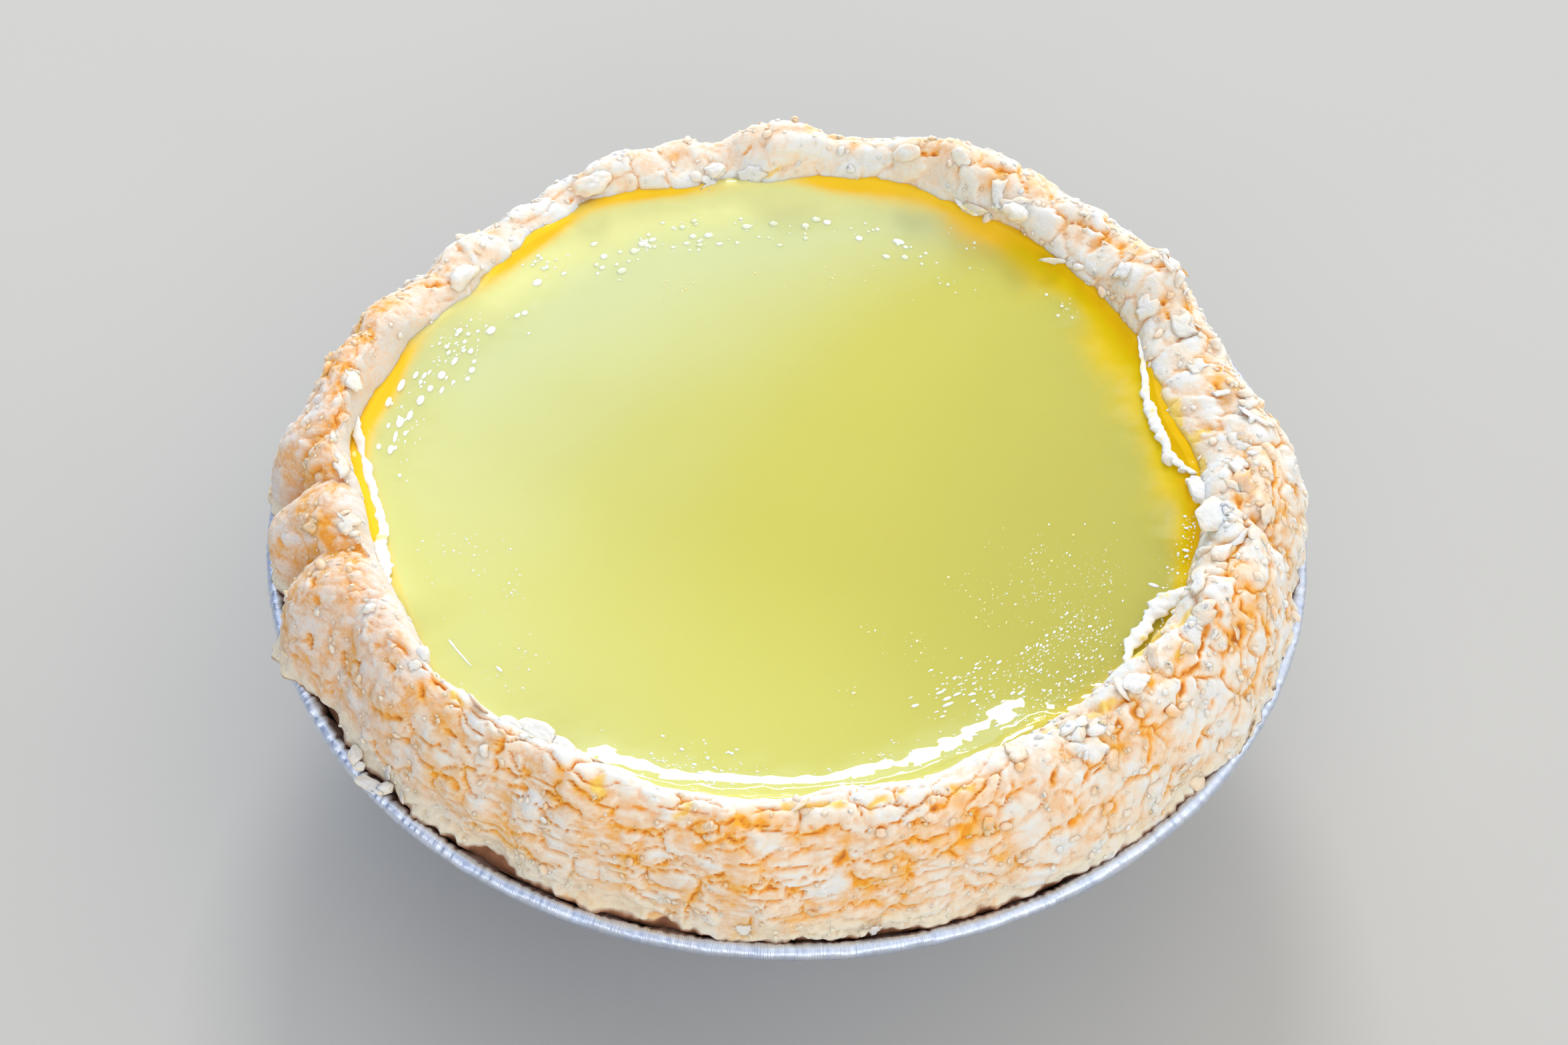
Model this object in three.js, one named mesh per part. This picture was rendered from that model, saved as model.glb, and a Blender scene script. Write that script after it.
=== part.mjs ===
// Egg tart in its foil cup: a fluted foil cup with a rolled bead, a thick hand-pinched shortcrust
// shell that stands well above the foil, and a shallow domed egg custard set into the shell.
// Millimetres, +Z up. The origin is the centre of the flat foil base, on the table.
import * as THREE from 'three';

// Foil cup
const FOIL_TOP_RADIUS = 37.5;     // over the outside of the rolled bead
const FOIL_BASE_RADIUS = 23.5;    // edge of the flat base
const FOIL_HEIGHT = 18.6;         // base to the top of the bead
const FOIL_THICKNESS = 0.26;
const BEAD_RADIUS = 0.6;
const BASE_BEND = 0.7;            // rounding between base and side
const FLUTES = 48;
const FLUTE_DEPTH = 0.35;         // in or out from the mean side, at the top of the side

// Pastry shell
const FIT_GAP = 0.3;              // between neighbouring pieces
const THROAT_RADIUS = 35.6;       // outside of the crust where it leaves the foil
const WALL_FOOT_RADIUS = 36.1;    // outside of the crust just above the bead
const CREST_RADIUS = 31.8;
const CREST_HEIGHT = 27.6;
const LIP_RADIUS = 29.0;          // where the custard meets the crust
const LIP_HEIGHT = 25.2;
const FLOOR_RADIUS = 20.0;
const FLOOR_HEIGHT = 4.0;
const CRUMB_RELIEF = 0.22;        // uneven skin of the crust
const OUTER_LIMIT = 37.3;         // the crust stays inside the bead, seen from above

// Custard
const CUSTARD_EDGE_HEIGHT = 25.0;
const CUSTARD_CENTRE_HEIGHT = 24.9;
const MENISCUS_RISE = 0.8;
const MENISCUS_WIDTH = 3.0;

const COLUMNS = 2 * FLUTES;       // one column on each ridge and one in each groove
const WALL_ROWS = 6;
const CREST_ROWS = 4;
const LINING_ROWS = 4;
const SURFACE_ROWS = 8;

// Swells of the crest, one for each pinch of the fingers: angle from +X and half width in degrees,
// then how far the crest rises and how far the crust leans out.
const PINCHES = [
  { at: 2, half: 11, up: 0.2, out: 1.5 },
  { at: 31, half: 10, up: 1.0, out: 0.7 },
  { at: 47, half: 7, up: 0.7, out: 0.3 },
  { at: 66, half: 12, up: 1.1, out: 0.2 },
  { at: 91, half: 5, up: 0.9, out: 0.1 },
  { at: 122, half: 6, up: -1.3, out: 0.0 },
  { at: 136, half: 14, up: -1.1, out: -0.2 },
  { at: 157, half: 6, up: -0.5, out: 0.0 },
  { at: 168, half: 8, up: 0.7, out: 0.6 },
  { at: 184, half: 8, up: 0.5, out: 1.1 },
  { at: 201, half: 9, up: 0.3, out: 0.6 },
  { at: 226, half: 8, up: -0.3, out: 0.2 },
  { at: 262, half: 16, up: -0.4, out: 0.0 },
  { at: 305, half: 10, up: -0.3, out: 0.4 },
  { at: 337, half: 9, up: 0.4, out: 0.6 },
];

// Folds between the pinches, where the pastry was pushed in: angle, drop of the crest and depth.
const FOLD_HALF_WIDTH = 3.2;
const FOLDS = [
  { at: 18, drop: 1.0, depth: 0.6 },
  { at: 52, drop: 0.8, depth: 0.3 },
  { at: 84, drop: 0.7, depth: 0.4 },
  { at: 147, drop: 0.5, depth: 0.4 },
  { at: 176, drop: 0.7, depth: 1.0 },
  { at: 193, drop: 0.6, depth: 1.1 },
  { at: 210, drop: 0.3, depth: 0.6 },
  { at: 243, drop: 0.4, depth: 0.5 },
  { at: 349, drop: 0.5, depth: 0.8 },
];

// Swells of the inner lip: where the opening is wider or narrower than a circle.
const LIP_SWELLS = [
  { at: 20, half: 26, by: -1.0 },
  { at: 55, half: 18, by: -1.0 },
  { at: 140, half: 10, by: -0.8 },
  { at: 172, half: 14, by: 0.8 },
  { at: 245, half: 30, by: 0.8 },
];

function swell(degrees, at, half) {
  const away = Math.abs(((degrees - at + 540) % 360) - 180) / half;
  return Math.exp(-away * away);
}

function angleOf(column) {
  return column * 360 / COLUMNS;
}

// +1 on the ridge of a flute, -1 in its groove, fading out towards the base.
function fluteOffset(column, share) {
  return (column % 2 === 0 ? 1 : -1) * FLUTE_DEPTH * share;
}

// Radius of the foil's outer side at a share of the way from the base to the bead.
function foilSideRadius(column, share) {
  const foot = FOIL_BASE_RADIUS + BASE_BEND;
  const head = FOIL_TOP_RADIUS - 2 * BEAD_RADIUS + FOIL_THICKNESS - FLUTE_DEPTH;
  return foot + (head - foot) * share + fluteOffset(column, share);
}

function foilSideHeight(share) {
  return BASE_BEND + (FOIL_HEIGHT - 2 * BEAD_RADIUS - BASE_BEND) * share;
}

// The bead's section, from the underside next to the wall round to the inner top.
function beadPoints() {
  const centreRadius = FOIL_TOP_RADIUS - BEAD_RADIUS;
  const centreHeight = FOIL_HEIGHT - BEAD_RADIUS;
  const points = [];
  for (const turn of [-100, -45, 0, 45, 90, 145]) {
    const angle = THREE.MathUtils.degToRad(turn);
    points.push([centreRadius + BEAD_RADIUS * Math.cos(angle), centreHeight + BEAD_RADIUS * Math.sin(angle)]);
  }
  return points;
}

function foilSection(column) {
  const shares = [0, 0.5, 1];
  const outside = shares.map((share) => [foilSideRadius(column, share), foilSideHeight(share)]);
  const inside = outside.map(([radius, height]) => [radius - FOIL_THICKNESS, height + FOIL_THICKNESS / 2]);
  return [
    [0, 0],
    [FOIL_BASE_RADIUS, 0],
    ...outside,
    ...beadPoints(),
    ...inside.reverse(),
    [FOIL_BASE_RADIUS - FOIL_THICKNESS, FOIL_THICKNESS],
    [0, FOIL_THICKNESS],
  ];
}

function crest(degrees) {
  let radius = CREST_RADIUS;
  let height = CREST_HEIGHT;
  let foot = WALL_FOOT_RADIUS;
  for (const pinch of PINCHES) {
    const amount = swell(degrees, pinch.at, pinch.half);
    radius += pinch.out * amount * 0.6;
    foot += pinch.out * amount;
    height += pinch.up * amount;
  }
  for (const fold of FOLDS) {
    const amount = swell(degrees, fold.at, FOLD_HALF_WIDTH);
    radius -= fold.depth * amount * 0.5;
    foot -= fold.depth * amount;
    height -= fold.drop * amount;
  }
  return { radius, height, foot };
}

function lipRadius(degrees) {
  let radius = LIP_RADIUS;
  for (const bay of LIP_SWELLS) {
    radius += bay.by * swell(degrees, bay.at, bay.half);
  }
  return radius;
}

// Small knobs and hollows of the crust, a sum of waves that never line up.
function crumbs(degrees, row) {
  const angle = THREE.MathUtils.degToRad(degrees);
  const wide = Math.sin(13 * angle + 2.1 * row);
  const middling = Math.sin(29 * angle - 3.3 * row);
  const narrow = Math.sin(43 * angle + 4.6 * row);
  return CRUMB_RELIEF * (wide + middling + narrow) / 1.5;
}

// The free-standing wall of the crust, from just above the bead up to the crest.
function wallPoints(degrees) {
  const { radius, height, foot } = crest(degrees);
  const footHeight = FOIL_HEIGHT + FIT_GAP;
  const points = [];
  for (let row = 0; row <= WALL_ROWS; row++) {
    const turn = Math.PI / 2 * row / WALL_ROWS;
    const relief = row === 0 ? 0 : crumbs(degrees, row);
    const out = radius + (foot - radius) * Math.cos(turn) ** 0.85 + relief;
    points.push([Math.min(out, OUTER_LIMIT), footHeight + (height - footHeight) * Math.sin(turn) + relief / 2]);
  }
  return points;
}

// From the crest over and down to the lip where the custard begins.
function innerCrestPoints(degrees) {
  const { radius, height } = crest(degrees);
  const lip = lipRadius(degrees);
  const points = [];
  for (let row = 1; row <= CREST_ROWS; row++) {
    const turn = Math.PI / 2 * row / CREST_ROWS;
    const relief = row === CREST_ROWS ? 0 : crumbs(degrees, WALL_ROWS + row) / 2;
    const across = radius + (lip - radius) * Math.sin(turn);
    points.push([across + relief, LIP_HEIGHT + (height - LIP_HEIGHT) * Math.cos(turn) + relief]);
  }
  return points;
}

// The lining of the shell, from below the lip down to the rounded edge of its floor.
function liningPoint(degrees, row) {
  const share = row / LINING_ROWS;
  const lip = lipRadius(degrees) - 0.2;
  const drop = Math.sin(Math.PI / 2 * share);
  const pull = 1 - Math.cos(Math.PI / 2 * share);
  return [
    lip + (FLOOR_RADIUS - lip) * (0.45 * share + 0.55 * pull),
    LIP_HEIGHT - 0.4 + (FLOOR_HEIGHT - LIP_HEIGHT + 0.4) * drop,
  ];
}

function shellSection(column) {
  const degrees = angleOf(column);
  const bottom = FOIL_THICKNESS + FIT_GAP;
  const seated = [0, 0.5, 1].map((share) => [
    foilSideRadius(column, share) - FOIL_THICKNESS - FIT_GAP * 1.2,
    foilSideHeight(share) + FOIL_THICKNESS / 2 + (share === 0 ? FIT_GAP : 0),
  ]);
  const lining = [];
  for (let row = 0; row <= LINING_ROWS; row++) {
    lining.push(liningPoint(degrees, row));
  }
  return [
    [0, bottom],
    [FOIL_BASE_RADIUS - FOIL_THICKNESS - FIT_GAP, bottom],
    ...seated,
    [THROAT_RADIUS, FOIL_HEIGHT - FIT_GAP],
    ...wallPoints(degrees),
    ...innerCrestPoints(degrees),
    ...lining,
    [0, FLOOR_HEIGHT],
  ];
}

// Height of the custard at a distance in from its edge: a low dome that creeps up the crust.
function custardHeight(inward, edgeRadius) {
  const flatHeight = CUSTARD_EDGE_HEIGHT - MENISCUS_RISE;
  const toCentre = inward / edgeRadius;
  const dome = (CUSTARD_CENTRE_HEIGHT - flatHeight) * (1 - (1 - toCentre) ** 2);
  const creep = MENISCUS_RISE * Math.exp(-3 * inward / MENISCUS_WIDTH);
  return flatHeight + dome * (1 - Math.exp(-inward)) + creep;
}

function custardSection(column) {
  const degrees = angleOf(column);
  const sides = [];
  for (let row = LINING_ROWS; row >= 1; row--) {
    const [radius, height] = liningPoint(degrees, row);
    sides.push([radius - FIT_GAP * 1.3, height + FIT_GAP * (row === LINING_ROWS ? 1.3 : 0)]);
  }
  const edgeRadius = liningPoint(degrees, 0)[0] - FIT_GAP * 1.3;
  const surface = [];
  for (let row = 0; row < SURFACE_ROWS; row++) {
    const inward = edgeRadius * (row / SURFACE_ROWS) ** 2;
    surface.push([edgeRadius - inward, custardHeight(inward, edgeRadius)]);
  }
  return [
    [0, FLOOR_HEIGHT + FIT_GAP * 1.3],
    ...sides,
    ...surface,
    [0, CUSTARD_CENTRE_HEIGHT],
  ];
}

// A closed skin from one section per column. The sections run from the axis at the bottom, out and
// round to the axis at the top, so the first and last points are shared by every column.
function turnedSkin(sectionAt) {
  const rows = sectionAt(0).length - 2;
  const positions = [];
  for (let column = 0; column < COLUMNS; column++) {
    const angle = THREE.MathUtils.degToRad(angleOf(column));
    for (const [radius, height] of sectionAt(column).slice(1, -1)) {
      positions.push(radius * Math.cos(angle), radius * Math.sin(angle), height);
    }
  }
  const bottomPole = COLUMNS * rows;
  const topPole = bottomPole + 1;
  positions.push(0, 0, sectionAt(0)[0][1]);
  positions.push(0, 0, sectionAt(0)[rows + 1][1]);

  const faces = [];
  for (let column = 0; column < COLUMNS; column++) {
    const here = column * rows;
    const next = ((column + 1) % COLUMNS) * rows;
    faces.push(bottomPole, next, here);
    faces.push(topPole, here + rows - 1, next + rows - 1);
    for (let row = 0; row < rows - 1; row++) {
      faces.push(here + row, next + row, next + row + 1);
      faces.push(here + row, next + row + 1, here + row + 1);
    }
  }
  const geometry = new THREE.BufferGeometry();
  geometry.setAttribute('position', new THREE.Float32BufferAttribute(positions, 3));
  geometry.setIndex(faces);
  geometry.computeVertexNormals();
  return geometry;
}

function piece(name, sectionAt, colour, roughness, metalness) {
  const material = new THREE.MeshStandardMaterial({ color: colour, roughness, metalness });
  const mesh = new THREE.Mesh(turnedSkin(sectionAt), material);
  mesh.name = name;
  return mesh;
}

const tart = new THREE.Group();
tart.add(piece('foil_cup', foilSection, '#d9dee4', 0.3, 1.0));
tart.add(piece('pastry_shell', shellSection, '#e6bd8c', 0.85, 0.0));
tart.add(piece('egg_custard', custardSection, '#dedb70', 0.2, 0.0));

export default tart;
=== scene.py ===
# An egg tart in its foil cup: crumbly hand-pinched shortcrust, glossy domed custard, crimped foil.
# Shapes are worked out in millimetres and angles in degrees, 0 along +X and 90 along +Y.
import itertools
import math

import bmesh
import bpy
import numpy as np
from mathutils import Matrix, Vector


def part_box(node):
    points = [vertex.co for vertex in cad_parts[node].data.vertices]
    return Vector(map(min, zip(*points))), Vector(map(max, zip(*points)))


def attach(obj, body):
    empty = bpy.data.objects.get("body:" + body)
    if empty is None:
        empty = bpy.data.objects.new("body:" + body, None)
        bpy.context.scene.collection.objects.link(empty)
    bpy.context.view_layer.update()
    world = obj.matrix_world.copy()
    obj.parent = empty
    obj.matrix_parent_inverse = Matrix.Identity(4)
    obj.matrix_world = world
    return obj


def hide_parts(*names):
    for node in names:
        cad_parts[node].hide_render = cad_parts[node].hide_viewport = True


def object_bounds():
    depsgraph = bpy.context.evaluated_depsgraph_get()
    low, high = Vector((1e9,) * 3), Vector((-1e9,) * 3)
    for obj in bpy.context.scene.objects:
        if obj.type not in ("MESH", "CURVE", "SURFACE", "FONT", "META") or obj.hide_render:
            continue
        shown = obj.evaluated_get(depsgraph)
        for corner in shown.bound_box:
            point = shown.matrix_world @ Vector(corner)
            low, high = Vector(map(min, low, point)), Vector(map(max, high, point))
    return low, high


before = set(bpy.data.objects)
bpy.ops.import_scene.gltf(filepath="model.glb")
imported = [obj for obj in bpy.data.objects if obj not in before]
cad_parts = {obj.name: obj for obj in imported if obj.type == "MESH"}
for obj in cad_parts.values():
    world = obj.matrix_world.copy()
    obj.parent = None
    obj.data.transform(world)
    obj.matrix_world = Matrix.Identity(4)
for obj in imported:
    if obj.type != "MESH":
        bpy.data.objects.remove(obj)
cad_low, cad_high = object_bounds()

MM = 0.001
BEAD_OUTSIDE = cad_high.x / MM                      # radius over the foil's rolled bead
FOIL_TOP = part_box("foil_cup")[1][2] / MM
BEAD = 0.62                                         # radius of the bead's section
RIM = FOIL_TOP - BEAD                               # height of the middle of the bead
SEED = 11


# ---------------------------------------------------------------- numbers that look random

def hashed(*whole):
    """A number from 0 to 1 for each set of whole numbers, the same on every run."""
    mixed = np.uint64(SEED)
    for number in whole:
        mixed = (mixed ^ np.asarray(number).astype(np.int64).astype(np.uint64)) * np.uint64(0x9E3779B97F4A7C15)
        mixed = mixed ^ (mixed >> np.uint64(29))
    mixed = mixed * np.uint64(0xBF58476D1CE4E5B9)
    mixed = mixed ^ (mixed >> np.uint64(32))
    return (mixed >> np.uint64(11)).astype(float) / 2.0 ** 53


def noise(points, size, seed=0):
    """Smooth noise from about -1 to 1, with features of about that size, at an array of points."""
    scaled = points / size
    cell = np.floor(scaled)
    inside = scaled - cell
    fade = inside ** 3 * (inside * (inside * 6 - 15) + 10)
    total = np.zeros(points.shape[:-1])
    for corner in itertools.product((0, 1), repeat=3):
        corner = np.array(corner)
        keys = [cell[..., axis] + corner[axis] for axis in range(3)]
        slope = [2 * hashed(*keys, seed * 3 + axis) - 1 for axis in range(3)]
        away = inside - corner
        value = sum(slope[axis] * away[..., axis] for axis in range(3))
        weight = np.where(corner == 1, fade, 1 - fade).prod(axis=-1)
        total += value * weight
    return total * 1.7


def step(value, low, high):
    """0 below low, 1 above high and smooth between."""
    share = np.clip((value - low) / (high - low), 0, 1)
    return share * share * (3 - 2 * share)


def apart(degrees, at):
    """How far an angle is from another, the short way round."""
    return np.abs((degrees - at + 180) % 360 - 180)


def bell(away, half, power=2):
    """1 at no distance, falling off smoothly over about that half width."""
    return np.exp(-(away / half) ** power)


def swell(degrees, at, half):
    """A smooth hump round an angle, 1 at its top."""
    return bell(apart(degrees, at), half)


def window(degrees, start, end, soft=12):
    """1 from one angle on to another, counted anticlockwise, with soft ends."""
    middle, half = (start + end) / 2, (end - start) / 2
    return 1 - step(apart(degrees, middle), half - soft, half + soft)


def round_the_tart(degrees, base, swells):
    """A size that changes round the tart: a base with humps of (angle, half width, amount)."""
    return base + sum(amount * swell(degrees, at, half) for at, half, amount in swells)


def cell_field(across, up, count, wide, tall, seed):
    """A field of irregular cells that closes on itself after count cells. Gives the distance to the
    nearest border, two random numbers for each cell, the offset to the cell's middle and how level
    that border lies, from 0 to 1."""
    column, row = np.floor(across / wide), np.floor(up / tall)
    reach = range(-2, 3)
    middles = []
    for sideways, upwards in itertools.product(reach, reach):
        i, j = column + sideways, row + upwards
        keys = (i % count, j)
        x = (i + 0.5 + 0.8 * (hashed(*keys, seed) - 0.5)) * wide - across
        y = (j + 0.5 + 0.8 * (hashed(*keys, seed + 1) - 0.5)) * tall - up
        middles.append((x, y, *keys))
    x, y, i, j = (np.stack(part) for part in zip(*middles))
    nearest = np.argmin(x * x + y * y, axis=0)[None]
    own_x, own_y, own_i, own_j = (np.take_along_axis(part, nearest, 0)[0] for part in (x, y, i, j))
    gap_x, gap_y = x - own_x, y - own_y
    length = np.sqrt(gap_x ** 2 + gap_y ** 2)
    border = ((x + own_x) * gap_x + (y + own_y) * gap_y) / 2 / np.maximum(length, 1e-9)
    border = np.where(length < 1e-6, np.inf, border)
    closest = np.argmin(border, axis=0)[None]
    level = np.abs(np.take_along_axis(gap_y / np.maximum(length, 1e-9), closest, 0)[0])
    border = np.take_along_axis(border, closest, 0)[0]
    first, second = hashed(own_i, own_j, seed + 2), hashed(own_i, own_j, seed + 3)
    return border, first, second, own_x, own_y, level


# ---------------------------------------------------------------- making pieces

def points_round(degrees, radius, height):
    """Points at an angle, radius and height each."""
    angle = np.radians(degrees)
    return np.stack(np.broadcast_arrays(radius * np.cos(angle), radius * np.sin(angle), height), -1)


def angles_round(columns):
    """The angles of evenly spread columns, one to a line."""
    return (np.arange(columns) * 360 / columns)[:, None]


def settle(piece, slot, *nodes):
    """Joins a piece to the tart's one body and hides the nodes that it stands for. Its slot is not used."""
    bpy.context.scene.collection.objects.link(piece)
    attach(piece, "root")
    if nodes:
        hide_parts(*nodes)
    return piece


def piece_of(name, points, faces, finish, **marks):
    """A mesh object from points in millimetres. Each mark is a number per point that its finish reads."""
    mesh = bpy.data.meshes.new(name)
    mesh.from_pydata((points * MM).tolist(), [], faces)
    mesh.validate()
    mesh.shade_smooth()
    for mark, values in marks.items():
        attribute = mesh.attributes.new(mark, "FLOAT", "POINT")
        attribute.data.foreach_set("value", np.asarray(values, np.float32).ravel())
    mesh.materials.append(finish)
    return bpy.data.objects.new(name, mesh)


def turned_piece(name, finish, degrees, radius, height, below, above, poles, **marks):
    """A closed skin turned round the axis. Below and above its shown rows are hidden rows of a (radius,
    height) each, and on the axis its bottom and top point."""
    columns = len(radius)
    low, high = (np.tile(np.array(section, float).reshape(-1, 1, 2), (columns, 1))
                 for section in (below, above))
    radius, height = (np.concatenate([low[..., part].T, shown, high[..., part].T], axis=1)
                      for part, shown in enumerate((radius, height)))
    ring = points_round(degrees[:, :1], radius, height)
    points = np.concatenate([ring.reshape(-1, 3), [(0, 0, end) for end in poles]])
    rows = radius.shape[1]
    bottom, top = columns * rows, columns * rows + 1
    faces = []
    for column in range(columns):
        here, after = column * rows, (column + 1) % columns * rows
        faces += [(bottom, after, here), (top, here + rows - 1, after + rows - 1)]
        faces += [(here + row, after + row, after + row + 1, here + row + 1) for row in range(rows - 1)]
    for mark, shown in marks.items():
        first, last = shown[:, :1].repeat(len(below), 1), shown[:, -1:].repeat(len(above), 1)
        marks[mark] = np.concatenate([np.concatenate([first, shown, last], axis=1).ravel(), [0, 0]])
    return piece_of(name, points, faces, finish, **marks)


# ---------------------------------------------------------------- shader expressions

class Value:
    """A socket of a node tree, on which arithmetic adds Math nodes."""

    def __init__(self, tree, socket):
        self.tree, self.socket = tree, socket

    def math(self, operation, *values):
        return self.tree.node("Math", {"operation": operation}, dict(enumerate(values)))

    def __add__(self, other):
        return self.math("ADD", self, other)

    def __sub__(self, other):
        return self.math("SUBTRACT", self, other)

    def __rsub__(self, other):
        return self.math("SUBTRACT", other, self)

    def __mul__(self, other):
        return self.math("MULTIPLY", self, other)

    __radd__, __rmul__ = __add__, __mul__


class Nodes:
    """A node tree in the making. A node is added by its type, its settings and its sockets' values."""

    def __init__(self, tree):
        self.nodes, self.links = tree.nodes, tree.links

    def node(self, kind, settings, inputs, output=0):
        made = self.nodes.new("ShaderNode" + kind)
        for name, setting in settings.items():
            setattr(made, name, setting)
        for key, value in inputs.items():
            self.feed(made.inputs[key], value)
        return Value(self, made.outputs[output])

    def feed(self, socket, value):
        if isinstance(value, Value):
            self.links.new(value.socket, socket)
        else:
            socket.default_value = value

    def vector(self, operation, *values, output=0):
        return self.node("VectorMath", {"operation": operation}, dict(enumerate(values)), output)

    def ramp(self, value, low, high):
        """0 where the value is below low, 1 above high and smooth between."""
        inputs = {"Value": value, "From Min": low, "From Max": high}
        return self.node("MapRange", {"interpolation_type": "SMOOTHSTEP"}, inputs)

    def mix(self, share, first, second):
        """One colour where the share is 0 and the other where it is 1."""
        return self.node("Mix", {"data_type": "RGBA"}, {0: share, 6: first, 7: second}, 2)


class Finish(Nodes):
    """A material in the making. Its shader's sockets are named with _ for each space."""

    def __init__(self, name, **constants):
        self.material = bpy.data.materials.new(name)
        self.material.use_nodes = True
        super().__init__(self.material.node_tree)
        self.surface = self.nodes["Principled BSDF"]
        self.done(**constants)

    def done(self, **inputs):
        for name, value in inputs.items():
            self.feed(self.surface.inputs[name.replace("_", " ")], value)
        return self.material

    def mark(self, name):
        return self.node("Attribute", {"attribute_name": name}, {}, "Fac")

    def place(self):
        return self.node("TexCoord", {}, {}, "Object")

    def texture(self, kind, place, size, output=0, settings={}, **inputs):
        """A texture with features of about that many millimetres."""
        return self.node("Tex" + kind, settings, {"Vector": place, "Scale": 1 / (size * MM), **inputs}, output)

    def grain(self, size, detail=3.0, rough=0.55, place=None):
        """Noise from 0 to 1."""
        return self.texture("Noise", place or self.place(), size, Detail=detail, Roughness=rough)

    def warped(self, size, amount):
        """The place on the piece, shifted about by smooth noise of that size."""
        place = self.place()
        drift = self.texture("Noise", place, size, "Color", Detail=2.0)
        drift = self.vector("SUBTRACT", drift, (0.5, 0.5, 0.5))
        return self.vector("MULTIPLY_ADD", drift, (amount * MM,) * 3, place)

    def crumb_edge(self, place, size):
        """Distance to the nearest border between crumbs of that size, in crumb sizes."""
        return self.texture("Voronoi", place, size, "Distance", {"feature": "DISTANCE_TO_EDGE"})

    def crumb_tone(self, place, size):
        """A random number for each crumb of that size."""
        return self.node("SeparateColor", {}, {"Color": self.texture("Voronoi", place, size, "Color")}, "Red")

    def blend(self, share, first, second):
        """One value where the share is 0 and the other where it is 1."""
        return first + share * (second - first)

    def tones(self, value, stops):
        """The colour at a value on a scale of (value, colour) stops."""
        shade = self.node("ValToRGB", {}, {"Fac": value}, "Color")
        scale = shade.socket.node.color_ramp.elements
        scale[0].position, scale[-1].position = stops[0][0], stops[-1][0]
        scale[0].color, scale[-1].color = colour(*stops[0][1]), colour(*stops[-1][1])
        for place, tone in stops[1:-1]:
            scale.new(place).color = colour(*tone)
        return shade

    def bump(self, height, distance, strength):
        return self.node("Bump", {}, {"Height": height, "Distance": distance * MM, "Strength": strength})


def colour(red, green, blue):
    """A colour given as it shows on a screen, from 0 to 255, as the linear colour of a shader."""
    shares = (part / 255 for part in (red, green, blue))
    return (*(s / 12.92 if s < 0.04045 else ((s + 0.055) / 1.055) ** 2.4 for s in shares), 1.0)


# ---------------------------------------------------------------- finishes

# From floury white over cream and peach to the orange of the deepest cracks.
CRUST_TONES = [
    (0, (231, 229, 224)), (0.14, (235, 227, 213)), (0.34, (240, 219, 195)), (0.54, (239, 205, 168)),
    (0.72, (243, 195, 137)), (0.87, (247, 184, 96)), (1, (248, 174, 58)),
]
GOLD = colour(250, 208, 92)
BROWN = colour(160, 108, 76)
# Ruddy tone of the pinched lobes, darkened as painted shade on the left side.
RUDDY_AND_SHADE = colour(206, 140, 102)
CRACK = colour(210, 124, 58)
UNDERBAKED = colour(238, 226, 202)


def pastry_finish(name, reach):
    """Shortcrust: floury where it stands out, peach where the oven browned it, orange in its cracks, with
    painted shade as more toasting in its hollows, round crumbs and along crumb borders. The reach is how far
    light soaks in, in millimetres."""
    crust = Finish(name, Roughness=0.8, Subsurface_Weight=0.8, Subsurface_Scale=reach * MM,
                   Subsurface_Radius=(1.0, 0.85, 0.7), Specular_IOR_Level=0.2)
    bake_and_shade, crack, under, gold, brown, layered, ruddy = (
        crust.mark(mark) for mark in ("toast", "crack", "under", "gold", "brown", "layered", "ruddy"))
    place = crust.warped(0.9, 0.5)
    flat = crust.vector("MULTIPLY", place, (1.0, 1.0, 2.3))
    blotch = crust.blend(layered, crust.grain(1.9, 2, 0.5, place), crust.grain(2.2, 2, 0.5, flat)) - 0.5
    spot = crust.blend(layered, crust.grain(0.9, 1, 0.5, place), crust.grain(1.1, 1, 0.5, flat)) - 0.5
    edge = crust.blend(layered, crust.crumb_edge(place, 1.0), crust.crumb_edge(flat, 1.5))
    fine = crust.grain(0.36, 2, 0.5)
    speck = fine - 0.5
    granules = crust.ramp(crust.grain(0.24, 1), 0.5, 0.7) * ruddy
    small_edge = crust.crumb_edge(crust.warped(0.4, 0.3), 0.5)
    tone = crust.crumb_tone(place, 1.0)
    toast = bake_and_shade + blotch * 0.6 + spot * 0.35 + speck * (0.14 + ruddy * 0.16)
    toast = toast + (tone - 0.5) * (0.14 + ruddy * 0.1)
    # Painted shade: more toasted along the borders between crumbs.
    toast = toast + (0.5 - crust.ramp(edge, 0.0, 0.16)) * 0.08 - granules * 0.22
    toast = toast + crust.ramp(crack + speck * 0.25, 0.12, 0.85) * (1 - toast)
    # Painted shade: the ruddy tone darkens the pinched left side.
    skin = crust.mix(ruddy * 0.18, crust.tones(toast, CRUST_TONES), RUDDY_AND_SHADE)
    for mark, low, high, most, tint in (
            (crack + speck * 0.3, 0.5, 1.0, 0.9, CRACK), (under + spot * 1.6, 0.3, 1.1, 0.85, UNDERBAKED),
            (gold + speck * 0.3, 0.1, 1.0, 0.9, GOLD)):
        skin = crust.mix(crust.ramp(mark, low, high) * most, skin, tint)
    skin = crust.mix(brown, skin, BROWN)
    crumbs = crust.ramp(edge, 0.0, 0.2) * 0.6 + crust.ramp(small_edge, 0.0, 0.25) * 0.4 + tone * 0.3
    relief = crumbs + fine * 0.5 + crust.grain(0.16, 2) * 0.25 + granules * 0.5
    return crust.done(Base_Color=skin, Normal=crust.bump(relief, 0.10, 0.42))


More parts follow.
